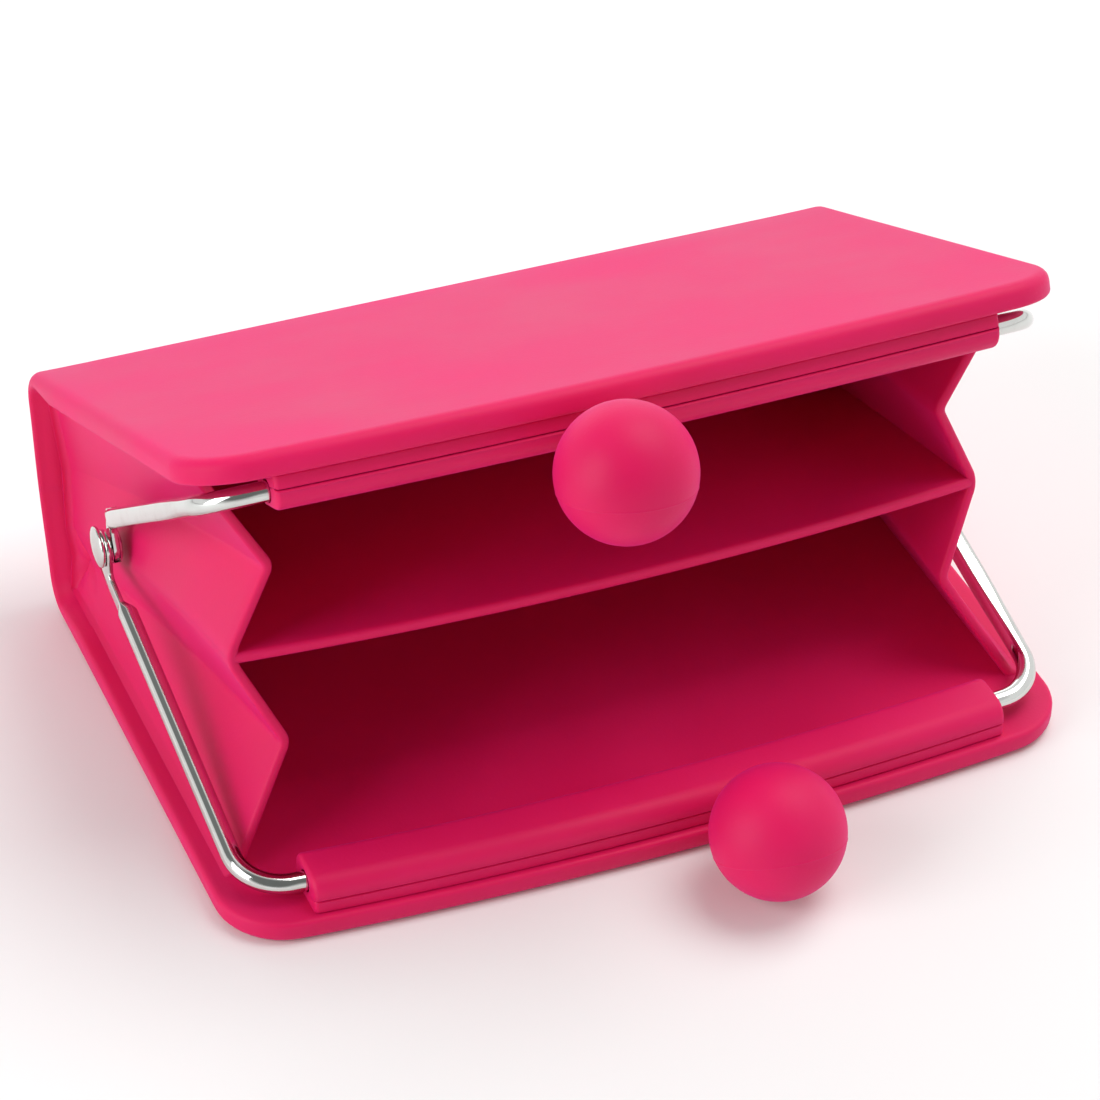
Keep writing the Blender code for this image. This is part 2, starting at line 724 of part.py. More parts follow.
def rivet_mesh():
    """The left-hand rivet: a domed head outside, a rod and a tail spread over the washer."""
    top = stack_outside() + EYE_GAP
    tail = stack_inside() - EYE_GAP - WASHER_THICKNESS - SEAT_GAP / 2
    rim = RIVET_HEAD_HEIGHT / 3
    profile = []
    for step in range(CORNER_STEPS + 1):
        turn = math.pi / 2 * step / CORNER_STEPS
        height = top + rim + (RIVET_HEAD_HEIGHT - rim) * math.cos(turn)
        profile.append((RIVET_HEAD_RADIUS * math.sin(turn), height))
    profile += [
        (RIVET_HEAD_RADIUS, top),
        (RIVET_RADIUS, top),
        (RIVET_RADIUS, tail),
        (RIVET_RADIUS + RIVET_TAIL, tail - RIVET_TAIL / 2),
        (RIVET_RADIUS, tail - RIVET_TAIL),
        (0.0, tail - RIVET_TAIL),
    ]
    mesh = turned_mesh("rivet", profile, False)
    mesh.transform(left_rivet_axis())
    return mesh


def washer_mesh():
    """The small ring under the rivet's tail."""
    top = stack_inside() - EYE_GAP
    bottom = top - WASHER_THICKNESS
    hole = RIVET_RADIUS + RIVET_CLEARANCE
    profile = [(WASHER_RADIUS, top), (WASHER_RADIUS, bottom), (hole, bottom), (hole, top)]
    mesh = turned_mesh("washer", profile, True)
    mesh.transform(left_rivet_axis())
    return mesh


def reflected(mesh):
    """A copy of a right-hand mesh for the left-hand side."""
    copy = mesh.copy()
    copy.transform(Matrix.Scale(-1, 4, Vector((1.0, 0.0, 0.0))))
    copy.flip_normals()
    return copy


def clear_scene():
    for obj in list(bpy.data.objects):
        bpy.data.objects.remove(obj)


def new_collection(name):
    collection = bpy.data.collections.new(name)
    bpy.context.scene.collection.children.link(collection)
    return collection


def build():
    pink = material("silicone", SILICONE_PINK, 0.55, 0.0)
    deep = material("silicone_inside", SILICONE_DEEP, 0.60, 0.0)
    nickel = material("nickel", NICKEL, 0.15, 1.0)

    base = Matrix.Translation(FOLD_AXIS)
    lower_half = axis_empty("lower_half", base)
    middle = axis_empty("middle", base)
    upper_half = axis_empty("upper_half", HALF_TURN @ base)
    bar_axis = Matrix.Translation(BAIL_PLANE @ Vector((0.0, -mean_bar_rise(), 0.0)))
    lower_frame = axis_empty("lower_frame", bar_axis)
    upper_frame = axis_empty("upper_frame", HALF_TURN @ bar_axis)

    halves = (lower_half, upper_half)
    frames = (lower_frame, upper_frame)
    add_twins(("lower_cover", "upper_cover"), cover_mesh(), pink, halves)
    add_twins(("lower_sleeve", "upper_sleeve"), sleeve_mesh(), pink, halves)
    add_piece("spine", spine_mesh(), pink, middle)
    add_piece("divider", divider_mesh(), deep, middle)
    right = bellows_mesh()
    left = reflected(right)
    add_twins(("right_bellows_lower", "left_bellows_upper"), right, deep, halves)
    add_twins(("left_bellows_lower", "right_bellows_upper"), left, deep, halves)
    add_twins(("lower_bail", "upper_bail"), bail_mesh(), nickel, frames)
    add_twins(("left_rivet", "right_rivet"), rivet_mesh(), nickel, frames)
    add_twins(("left_washer", "right_washer"), washer_mesh(), nickel, frames)
    add_twins(("lower_stud", "upper_stud"), stud_mesh(), nickel, frames)
    add_twins(("lower_ball", "upper_ball"), ball_mesh(), pink, frames)


def mean_bar_rise():
    """Half of how far the middle of the bar stands ahead of its ends."""
    return (front_edge(SLEEVE_LENGTH / 2) - front_edge(0.0)) / 2


clear_scene()
WALLET = new_collection("silicone_wallet")
CUTTERS = new_collection("cutters")
build()
bpy.context.view_layer.update()
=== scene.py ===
"""Silicone wallet with a wire clasp frame: the finished look round the packed part.

The upper half of the wallet is the lower half turned half a turn about the line that runs forward
through the middle of the opening. So most pieces are made once, on the lower half, and a twin of
each is turned over. Lower half: X to the right, s backward from the front edge, n up.
"""

import math

import bmesh
import bpy
from bpy.props import FloatProperty, FloatVectorProperty, IntProperty, PointerProperty
from bpy.types import Operator, Panel, PropertyGroup
from mathutils import Matrix, Vector, noise


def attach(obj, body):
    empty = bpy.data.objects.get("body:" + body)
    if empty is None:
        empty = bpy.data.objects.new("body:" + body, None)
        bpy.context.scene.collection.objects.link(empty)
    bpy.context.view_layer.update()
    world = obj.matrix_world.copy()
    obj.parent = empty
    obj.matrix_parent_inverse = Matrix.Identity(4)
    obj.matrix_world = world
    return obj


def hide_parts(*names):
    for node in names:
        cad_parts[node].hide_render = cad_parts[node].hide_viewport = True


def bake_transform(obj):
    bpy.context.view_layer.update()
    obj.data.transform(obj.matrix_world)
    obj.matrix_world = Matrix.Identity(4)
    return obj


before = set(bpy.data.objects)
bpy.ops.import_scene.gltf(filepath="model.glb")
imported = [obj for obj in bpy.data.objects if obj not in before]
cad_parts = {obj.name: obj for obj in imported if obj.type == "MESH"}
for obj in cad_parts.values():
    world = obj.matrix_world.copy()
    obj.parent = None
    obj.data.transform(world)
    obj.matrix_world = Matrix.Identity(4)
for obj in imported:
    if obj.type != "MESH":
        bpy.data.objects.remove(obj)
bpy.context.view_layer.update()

bl_info = {
    "name": "Silicone wallet",
    "version": (1, 0, 0),
    "blender": (4, 5, 0),
    "location": "3D View > Sidebar > Wallet",
    "description": "A soft wallet with pleated sides, a wire frame and two ball knobs",
    "category": "Object",
}

# Points closer than this are one
WELD = 0.000001
SHARP_ANGLE = math.radians(34)
MIRROR = Matrix.Scale(-1, 4, (1, 0, 0))
# Turns a flat outline's own X, Y and thickness into Y, Z and X
SIDEWAYS = Matrix(((0, 0, 1, 0), (1, 0, 0, 0), (0, 1, 0, 0), (0, 0, 0, 1)))


def length(name, description, default):
    return FloatProperty(
        name=name, description=description, default=default, min=0.0, precision=5, unit="LENGTH"
    )


def share(name, description, default):
    return FloatProperty(
        name=name, description=description, default=default, min=0.0, max=1.0, subtype="FACTOR"
    )


def colour(name, description, default):
    return FloatVectorProperty(
        name=name, description=description, default=default, min=0.0, max=1.0, subtype="COLOR"
    )


def number(name, description, default, least):
    return IntProperty(name=name, description=description, default=default, min=least)


class WalletBodySizes(PropertyGroup):
    """Covers, spine and divider."""

    width: length("Width", "Width of a cover", 0.108)
    depth: length("Depth", "From a cover's front corners to the spine's corner", 0.070)
    thickness: length("Cover thickness", "Thickness of a cover", 0.0030)
    bow: length("Front bow", "How far the middle of the front edge stands forward", 0.0028)
    corner: length("Front corner", "Radius of a cover's front corners", 0.0085)
    outer_rim: length("Outer rim", "Rounding of a cover's outer rim", 0.0014)
    inner_rim: length("Inner rim", "Rounding of a cover's inner rim", 0.0005)
    spine_height: length("Spine height", "Height of the spine between its corners", 0.0320)
    spine_thickness: length("Spine thickness", "Thickness of the spine", 0.0024)
    spine_corner: length("Spine corner", "Outer radius where cover and spine meet", 0.0050)
    spine_bulge: length("Spine bulge", "How far the middle of the spine bulges", 0.0005)
    fold_setback: length("Fold setback", "From the spine's outer face to the fold axis", 0.0012)
    opening: FloatProperty(
        name="Opening", description="Angle between the covers", default=math.radians(24.3),
        subtype="ANGLE",
    )
    divider_thickness: length("Divider thickness", "Thickness of the divider", 0.0014)
    divider_setback: length("Divider setback", "How far the divider stops short", 0.0150)
    divider_bow: length("Divider bow", "How far the divider's front edge is bowed", 0.0032)
    crown: length("Spine ends", "How far the spine's ends are rounded off inside", 0.0009)
    unevenness: length("Unevenness", "Depth of the soft hollows in the moulded faces", 0.00012)


class WalletBellowsSizes(PropertyGroup):
    """Pleated sides."""

    wall: length("Wall", "Thickness of the pleated sheet", 0.0012)
    valley_inset: length("Valley inset", "From the cover's side to the fold between pleats", 0.0062)
    flare: length("Flare", "How far the fold between pleats runs outward to the spine", 0.0031)
    sag: length("Sag", "How far the fold between pleats sinks towards the spine", 0.0055)
    base_inset: length("Base inset", "From the cover's side to the pleat's foot", 0.0026)
    setback: length("Setback", "From the front corner line to the pleat's foot", 0.0097)
    depth: length("Pleat depth", "How far a pleat folds inward in front", 0.0065)
    fade: length("Pleat depth at the spine", "How far a pleat folds inward at the back", 0.0006)
    fold_round: length("Fold rounding", "Radius of a pleat's inward fold", 0.0018)
    valley_round: length("Valley rounding", "Radius of the fold between the pleats", 0.0040)
    spine_fillet: length("Fillet at the spine", "Hollow where a pleat meets the spine", 0.0007)
    foot_fillet: length("Fillet at the cover", "Hollow where a pleat meets a cover", 0.0003)
    crease: length("Crease", "Depth of the creases at the pleat's back corner", 0.0010)
    height_share: share("Fold height", "Height of the inward fold", 0.57)


class WalletFrameSizes(PropertyGroup):
    """Sleeves, wire frame, rivets."""

    sleeve_end: length("Sleeve end", "From the cover's side to the sleeve's end", 0.0097)
    sleeve_depth: length("Sleeve depth", "Depth of a sleeve's section", 0.0070)
    sleeve_inset: length("Sleeve inset", "From the front edge back to the sleeve", 0.0010)
    sleeve_top: length("Sleeve top", "Height of the sleeve above the cover's outer face", 0.0074)
    sleeve_front: length("Sleeve front round", "Rounding of the sleeve's front top", 0.0022)
    sleeve_back: length("Sleeve back round", "Rounding of the sleeve's back top", 0.0015)
    sleeve_end_round: length("Sleeve end round", "Rounding of the sleeve's ends", 0.0006)
    slit: length("Slit", "Width of the slit along the sleeve", 0.00008)
    slit_height: length("Slit height", "Height of the slit", 0.0048)
    lip: length("Slit lip", "How far the lip above the slit stands out", 0.00006)
    wire: length("Wire", "Diameter of the wire", 0.0024)
    inset: length("Bail inset", "From the cover's side to the wire's middle", 0.0028)
    bend: length("Bend", "Radius of the wire's bends", 0.0058)
    bar_setback: length("Bar setback", "How far back the bar's ends lie", 0.0036)
    bar_height: length("Bar height", "Height of the bar's ends", 0.00535)
    bore_clearance: length("Bore clearance", "Room round the bar in its sleeve", 0.0002)
    reach: length("Pivot reach", "From the fold axis to the rivets", 0.0190)
    eye_offset: length("Eye offset", "From an arm's line to its rivet", 0.0031)
    eye_radius: length("Eye radius", "Radius of an eye", 0.0023)
    eye_thickness: length("Eye thickness", "Thickness of an eye", 0.0007)
    eye_gap: length("Eye gap", "Gap between the eyes", 0.0002)
    outer_neck: length("Outer neck", "Width of the flattened wire before an outer eye", 0.0019)
    outer_lap: length("Outer lap", "Length of the wire's flattening before an outer eye", 0.0086)
    outer_taper: length("Outer taper", "Length over which that flattening sets in", 0.0016)
    outer_run: length("Outer run", "How far an outer strip runs on past its rivet", 0.00095)
    inner_neck: length("Inner neck", "Width of the flattened wire before an inner eye", 0.0025)
    inner_lap: length("Inner lap", "Length of the wire's flattening before an inner eye", 0.0078)
    inner_taper: length("Inner taper", "Length over which that flattening sets in", 0.0020)
    inner_stop: length("Inner stop", "How far an inner strip stops short of its rivet", 0.0030)
    inner_square: share("Inner arm", "How far an inner arm is pressed from round to square", 0.85)
    rivet: length("Rivet", "Radius of a rivet's shank", 0.0009)
    rivet_play: length("Rivet play", "Room round a rivet in the other bail's eye", 0.00047)
    rivet_head: length("Rivet head", "Radius of a rivet's head", 0.0026)
    rivet_dome: length("Rivet dome", "Height of a rivet's head", 0.0008)
    washer: length("Washer", "Radius of a washer", 0.0022)
    washer_thickness: length("Washer thickness", "Thickness of a washer", 0.0004)


class WalletClaspSizes(PropertyGroup):
    """Ball knobs and their studs."""

    radius: length("Ball radius", "Radius of a ball", 0.0081)
    offset: length("Ball offset", "From the middle of the wallet to a ball", 0.0082)
    forward: length("Ball forward", "From the front corner line forward to a ball", 0.0116)
    height: length("Ball height", "Height of a ball above the cover's outer face", 0.0085)
    stud: length("Stud", "Radius of a stud", 0.0011)
    parting: length("Parting line", "How far the parting line lies off the middle", 0.0019)
    ridge: length("Parting ridge", "Height of the parting line", 0.00005)


class WalletFinish(PropertyGroup):
    """Colours and finishes."""

    skin: colour("Silicone", "Colour of the silicone", (0.74, 0.007, 0.110))
    skin_deep: colour("Silicone, deep", "Colour of its darker patches", (0.68, 0.005, 0.092))
    skin_pale: colour("Silicone, pale", "Colour of rubbed, dusty silicone", (0.82, 0.035, 0.17))
    skin_roughness: share("Silicone roughness", "Roughness of the silicone", 0.52)
    metal: colour("Nickel", "Colour of the plating", (0.68, 0.69, 0.67))
    metal_dull: colour("Nickel, dull", "Colour of rubbed plating", (0.60, 0.59, 0.57))
    metal_roughness: share("Nickel roughness", "Roughness of the plating", 0.10)
    floor: colour("Floor", "Colour of the floor", (0.90, 0.90, 0.90))


class WalletQuality(PropertyGroup):
    """Counts of segments."""

    round_steps: number("Rounding", "Segments of a rounding", 6, 2)
    grid: length("Cell", "Size of a cell of a cover's mesh", 0.0035)
    turn_steps: number("Turned", "Segments of a turned piece", 48, 12)


GROUPS = {
    "wallet_body": WalletBodySizes,
    "wallet_bellows": WalletBellowsSizes,
    "wallet_frame": WalletFrameSizes,
    "wallet_clasp": WalletClaspSizes,
    "wallet_finish": WalletFinish,
    "wallet_quality": WalletQuality,
}


class Layout:
    """The places that follow from the sizes."""

    def __init__(self, scene):
        self.body = scene.wallet_body
        self.bellows = scene.wallet_bellows
        self.frame = scene.wallet_frame
        self.clasp = scene.wallet_clasp
        self.quality = scene.wallet_quality
        body = self.body
        wire = self.frame
        self.half_width = body.width / 2
        self.half_angle = body.opening / 2
        self.forward = Vector((0.0, -math.cos(self.half_angle), math.sin(self.half_angle)))
        self.up = Vector((0.0, math.sin(self.half_angle), math.cos(self.half_angle)))
        self.spine_middle = self.spot(
            0.0,
            body.depth + body.spine_height / 2 * math.sin(self.half_angle),
            body.spine_height / 2 * math.cos(self.half_angle),
        )
        self.fold_axis = self.spine_middle + body.fold_setback * self.forward
        self.pivot = self.fold_axis + wire.reach * self.forward
        self.half_turn = (
            Matrix.Translation(self.spine_middle)
            @ Matrix.Rotation(math.pi, 4, self.forward)
            @ Matrix.Translation(-self.spine_middle)
        )
        self.sleeve_half = self.half_width - wire.sleeve_end
        self.bar_end = self.spot(0.0, wire.bar_setback, wire.bar_height)
        to_pivot = self.pivot - self.bar_end
        self.arm_length = math.sqrt(to_pivot.length_squared - wire.eye_offset**2)
        lean = math.atan2(wire.eye_offset, self.arm_length)
        self.arm_angle = math.atan2(to_pivot.z, to_pivot.y) - lean
        tilt = Matrix.Rotation(self.arm_angle, 4, "X")
        self.bail_plane = Matrix.Translation(self.bar_end) @ tilt
        self.arm_half = self.half_width - wire.inset

    def spot(self, x, s, n):
        """A point of the lower half, in the object's frame."""
        return Vector((x, s - self.body.depth / 2, n))

    def front_edge(self, x):
        """Where the bowed front edge stands at x, as part of a circle."""
        half, rise = self.half_width, self.body.bow
        radius = (half**2 + rise**2) / (2 * rise)
        return radius - rise - math.sqrt(radius**2 - x**2)

    def ball_centre(self):
        clasp = self.clasp
        return self.spot(clasp.offset, -clasp.forward, clasp.height)

    def stud_foot(self):
        ahead = self.front_edge(self.clasp.offset) - self.front_edge(self.sleeve_half)
        return self.bail_plane @ Vector((self.clasp.offset, ahead, 0.0))


def rounded(points, radii, steps):
    """The closed outline through these points, with an arc of the given radius at each."""
    result = []
    for index, (point, radius) in enumerate(zip(points, radii)):
        here = Vector(point)
        if radius == 0:
            result.append(here)
            continue
        before = (Vector(points[index - 1]) - here).normalized()
        after = (Vector(points[(index + 1) % len(points)]) - here).normalized()
        half = before.angle(after) / 2
        centre = here + (before + after).normalized() * (radius / math.sin(half))
        start = here + before * (radius / math.tan(half)) - centre
        end = here + after * (radius / math.tan(half)) - centre
        sweep = start.angle_signed(end)
        for step in range(steps + 1):
            result.append(centre + Matrix.Rotation(-sweep * step / steps, 2) @ start)
    return result


def ease(value):
    value = min(1.0, max(0.0, value))
    return value * value * (3 - 2 * value)


def extruded(work, geometry, shift):
    """Extrudes faces and moves the new end."""
    made = bmesh.ops.extrude_face_region(work, geom=geometry)["geom"]
    verts = [item for item in made if isinstance(item, bmesh.types.BMVert)]
    bmesh.ops.translate(work, verts=verts, vec=shift)


def plate(outline, thickness):
    """A flat solid of this outline, from Z 0 up."""
    work = bmesh.new()
    face = work.faces.new([work.verts.new((place[0], place[1], 0.0)) for place in outline])
    extruded(work, [face], (0.0, 0.0, thickness))
    bmesh.ops.recalc_face_normals(work, faces=work.faces)
    return work


def rounding(work, edges, radius, segments):
    bmesh.ops.bevel(
        work,
        geom=edges,
        offset=radius,
        offset_type="OFFSET",
        segments=segments,
        profile=0.5,
        affect="EDGES",
        clamp_overlap=True,
        material=-1,
    )


def cut_across(work, place, normal):
    """A row of edges where a plane passes."""
    everything = work.verts[:] + work.edges[:] + work.faces[:]
    bmesh.ops.bisect_plane(work, geom=everything, dist=WELD, plane_co=place, plane_no=normal)


def turned(profile, steps, closed=False):
    """A profile of (radius, height) points turned about Z."""
    work = bmesh.new()
    verts = [work.verts.new((radius, 0.0, height)) for radius, height in profile]
    edges = [work.edges.new(pair) for pair in zip(verts, verts[1:])]
    if closed:
        edges.append(work.edges.new((verts[-1], verts[0])))
    bmesh.ops.spin(
        work,
        geom=verts + edges,
        cent=(0.0, 0.0, 0.0),
        axis=(0.0, 0.0, 1.0),
        angle=math.tau,
        steps=steps,
        use_merge=True,
    )
    bmesh.ops.remove_doubles(work, verts=work.verts, dist=WELD)
    bmesh.ops.recalc_face_normals(work, faces=work.faces)
    return work


def finished(mesh, surface):
    """Gives a mesh its surface and lets it shade smoothly up to its sharp edges."""
    mesh.materials.clear()
    mesh.materials.append(surface)
    mesh.shade_smooth()
    mesh.set_sharp_from_angle(angle=SHARP_ANGLE)


def linked(name, mesh):
    obj = bpy.data.objects.new(name, mesh)
    bpy.context.scene.collection.objects.link(obj)
    return obj


def piece(name, work, surface, place=None):
    """A finished object. Its place goes into its mesh."""
    mesh = bpy.data.meshes.new(name)
    if place is not None:
        bmesh.ops.transform(work, matrix=place, verts=work.verts)
    work.to_mesh(mesh)
    work.free()
    finished(mesh, surface)
    return linked(name, mesh)


def applied(obj):
    """Makes an object's modifiers part of its mesh."""
    surface = obj.data.materials[0]
    graph = bpy.context.evaluated_depsgraph_get()
    mesh = bpy.data.meshes.new_from_object(obj.evaluated_get(graph))
    obj.modifiers.clear()
    obj.data = mesh
    finished(mesh, surface)


def combined(obj, tools, operation):
    """The object cut by, or joined with, the tool objects, which are removed."""
    for tool in tools:
        change = obj.modifiers.new("Combine", "BOOLEAN")
        change.operation = operation
        change.solver = "EXACT"
        change.object = tool
    applied(obj)
    for tool in tools:
        bpy.data.objects.remove(tool)
    return obj


def copied(obj, name, change):
    """The same piece once more, moved by a matrix."""
    mesh = obj.data.copy()
    mesh.name = name
    mesh.transform(change)
    return linked(name, mesh)


def twin(obj, name, layout):
    """The same piece on the upper half."""
    return copied(obj, name, layout.half_turn)


def reflected(obj, name):
    """The same piece on the other side."""
    copy = copied(obj, name, MIRROR)
    copy.data.flip_normals()
    return copy


def carry(obj, bodies, nodes):
    """Rides one body. Given more than one, it only has its place baked into its mesh."""
    if len(bodies) == 1:
        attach(obj, bodies[0])
    else:
        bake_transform(obj)
    if nodes:
        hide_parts(*nodes)


def carry_both(lower, name, layout, body, node):
    """Carries a piece of the lower half and its twin of this name on the upper half."""
    upper = twin(lower, name, layout)
    for obj, half in ((lower, "lower"), (upper, "upper")):
        carry(obj, (f"{half}_{body}",), (f"{half}_{node}",))


# Materials


def dialled(node, **settings):
    """Sets a node's inputs. An underscore stands for the space in a socket's name."""
    for label, value in settings.items():
        node.inputs[label.replace("_", " ")].default_value = value
    return node


def joined(links, *pairs):
    for source, target in pairs:
        links.new(source, target)


def socket_group(name, inputs, outputs):
    group = bpy.data.node_groups.new(name, "ShaderNodeTree")
    for label, kind, default in inputs:
        socket = group.interface.new_socket(label, in_out="INPUT", socket_type=kind)
        socket.default_value = default
    for label, kind in outputs:
        group.interface.new_socket(label, in_out="OUTPUT", socket_type=kind)
    return group, group.nodes.new("NodeGroupInput"), group.nodes.new("NodeGroupOutput")


def grain_group():
    """Two sizes of soft noise on the object: broad patches and a fine grain."""
    group, source, result = socket_group(
        "soft_grain",
        [
            ("Patch Scale", "NodeSocketFloat", 40.0),
            ("Grain Scale", "NodeSocketFloat", 2500.0),
            ("Patch Low", "NodeSocketFloat", 0.35),
            ("Patch High", "NodeSocketFloat", 0.65),
        ],
        [("Patches", "NodeSocketFloat"), ("Grain", "NodeSocketFloat")],
    )
    nodes = group.nodes
    place = nodes.new("ShaderNodeTexCoord").outputs["Object"]
    patches = dialled(nodes.new("ShaderNodeTexNoise"), Detail=4.0)
    grain = dialled(nodes.new("ShaderNodeTexNoise"), Detail=3.0)
    spread = nodes.new("ShaderNodeMapRange")
    joined(
        group.links,
        (place, patches.inputs["Vector"]),
        (place, grain.inputs["Vector"]),
        (source.outputs["Patch Scale"], patches.inputs["Scale"]),
        (source.outputs["Grain Scale"], grain.inputs["Scale"]),
        (patches.outputs["Fac"], spread.inputs["Value"]),
        (source.outputs["Patch Low"], spread.inputs["From Min"]),
        (source.outputs["Patch High"], spread.inputs["From Max"]),
        (spread.outputs["Result"], result.inputs["Patches"]),
        (grain.outputs["Fac"], result.inputs["Grain"]),
    )


def speck_group():
    """Sparse small specks, such as dust on soft silicone or pits in plating."""
    group, source, result = socket_group(
        "fine_specks",
        [("Scale", "NodeSocketFloat", 900.0), ("Size", "NodeSocketFloat", 0.12)],
        [("Specks", "NodeSocketFloat")],
    )
    nodes = group.nodes
    place = nodes.new("ShaderNodeTexCoord").outputs["Object"]
    cells = nodes.new("ShaderNodeTexVoronoi")
    rare = dialled(nodes.new("ShaderNodeTexNoise"), Scale=130.0)
    near = dialled(nodes.new("ShaderNodeMapRange"), From_Min=0.0, To_Min=1.0, To_Max=0.0)
    few = dialled(nodes.new("ShaderNodeMapRange"), From_Min=0.56, From_Max=0.66)
    both = nodes.new("ShaderNodeMath")
    both.operation = "MULTIPLY"
    joined(
        group.links,
        (place, cells.inputs["Vector"]),
        (place, rare.inputs["Vector"]),
        (source.outputs["Scale"], cells.inputs["Scale"]),
        (cells.outputs["Distance"], near.inputs["Value"]),
        (source.outputs["Size"], near.inputs["From Max"]),
        (rare.outputs["Fac"], few.inputs["Value"]),
        (near.outputs["Result"], both.inputs[0]),
        (few.outputs["Result"], both.inputs[1]),
        (both.outputs["Value"], result.inputs["Specks"]),
    )


def group_node(nodes, name, **settings):
    node = nodes.new("ShaderNodeGroup")
    node.node_tree = bpy.data.node_groups[name]
    return dialled(node, **settings)


def mixed(nodes, links, factor, first, second):
    """A colour between two, by a factor socket. Each is a socket or a colour."""
    mix = nodes.new("ShaderNodeMix")
    mix.data_type = "RGBA"
    sockets = [item for item in mix.inputs if item.type == "RGBA"]
    links.new(factor, mix.inputs[0])
    for socket, value in zip(sockets, (first, second)):
        if isinstance(value, bpy.types.NodeSocket):
            links.new(value, socket)
        else:
            socket.default_value = (*value, 1.0)
    return next(item for item in mix.outputs if item.type == "RGBA")


def new_surface(name):
    surface = bpy.data.materials.new(name)
    surface.use_nodes = True
    nodes, links = surface.node_tree.nodes, surface.node_tree.links
    return surface, nodes, links, nodes["Principled BSDF"]


def handled(nodes, links, grain, shader, smoothest, roughest, strength, depth):
    """Patches of different roughness, and a fine bump from the grain."""
    rough = dialled(nodes.new("ShaderNodeMapRange"), To_Min=smoothest, To_Max=roughest)
    bump = dialled(nodes.new("ShaderNodeBump"), Strength=strength, Distance=depth)
    joined(
        links,
        (grain.outputs["Patches"], rough.inputs["Value"]),
        (rough.outputs["Result"], shader.inputs["Roughness"]),
        (grain.outputs["Grain"], bump.inputs["Height"]),
        (bump.outputs["Normal"], shader.inputs["Normal"]),
    )


def silicone_material(name, finish, pale_share):
    """Satin moulded silicone: soft light under the skin, broad patches, fine grain, some dust."""
    _, nodes, links, shader = new_surface(name)
    grain = group_node(nodes, "soft_grain", Patch_Scale=38.0, Grain_Scale=2600.0)
    specks = group_node(nodes, "fine_specks", Scale=620.0, Size=0.10)
    base = mixed(nodes, links, grain.outputs["Patches"], finish.skin_deep, finish.skin)
    dust = nodes.new("ShaderNodeMath")
    dust.operation = "MULTIPLY"
    dust.inputs[1].default_value = pale_share
    links.new(specks.outputs["Specks"], dust.inputs[0])
    dusty = mixed(nodes, links, dust.outputs["Value"], base, finish.skin_pale)
    links.new(dusty, shader.inputs["Base Color"])
    rough = finish.skin_roughness
    handled(
        nodes, links, grain, shader, smoothest=rough - 0.05, roughest=rough + 0.06,
        strength=0.10, depth=0.0002,
    )
    dialled(
        shader,
        IOR=1.42,
        Specular_IOR_Level=0.32,
        Subsurface_Weight=0.25,
        Subsurface_Radius=(1.0, 0.18, 0.25),
        Subsurface_Scale=0.0012,
        Sheen_Weight=0.10,
        Sheen_Roughness=0.45,
        Sheen_Tint=(0.35, 0.08, 1.0, 1.0),
    )


def nickel_material(name, finish):
    """Polished plating with faint drawing marks and duller, rubbed patches."""
    _, nodes, links, shader = new_surface(name)
    grain = group_node(
        nodes, "soft_grain", Patch_Scale=260.0, Grain_Scale=3800.0, Patch_Low=0.45, Patch_High=0.75
    )
    specks = group_node(nodes, "fine_specks", Scale=1500.0, Size=0.10)
    base = mixed(nodes, links, grain.outputs["Patches"], finish.metal, finish.metal_dull)
    pitted = mixed(nodes, links, specks.outputs["Specks"], base, finish.metal_dull)
    links.new(pitted, shader.inputs["Base Color"])
    rough = finish.metal_roughness
    handled(
        nodes, links, grain, shader, smoothest=rough - 0.04, roughest=rough + 0.12,
        strength=0.02, depth=0.0001,
    )
    dialled(shader, Metallic=1.0)


# The floor's darker patches are this much of its colour
FLOOR_SHADE = 0.985


def floor_material(name, finish):
    surface, nodes, links, shader = new_surface(name)
    grain = group_node(nodes, "soft_grain", Patch_Scale=6.0, Grain_Scale=300.0)
    darker = [value * FLOOR_SHADE for value in finish.floor]
    tone = mixed(nodes, links, grain.outputs["Patches"], finish.floor, darker)
    links.new(tone, shader.inputs["Base Color"])
    dialled(shader, Roughness=0.75)
    return surface


# Covers and spine

# Segments along the front edge, round the spine's corner and up the spine
FRONT_STEPS, CORNER_STEPS, RISE_STEPS = 30, 14, 8
# The bowed front edge is given points up to this many corner radii from the side
BOW_END = 1.4
# Rows of edges where the spine's ends slim down, in times their rounding
CROWN_ROWS = (1.44, 2.16, 2.88, 3.6)
# Soft hollows: how many to a metre, and how far from an edge they are full
HOLLOW_RATE, HOLLOW_MARGIN = 38.0, 0.006
# The spine's ends slim down over this many times their rounding
CROWN_RUN = 3.2


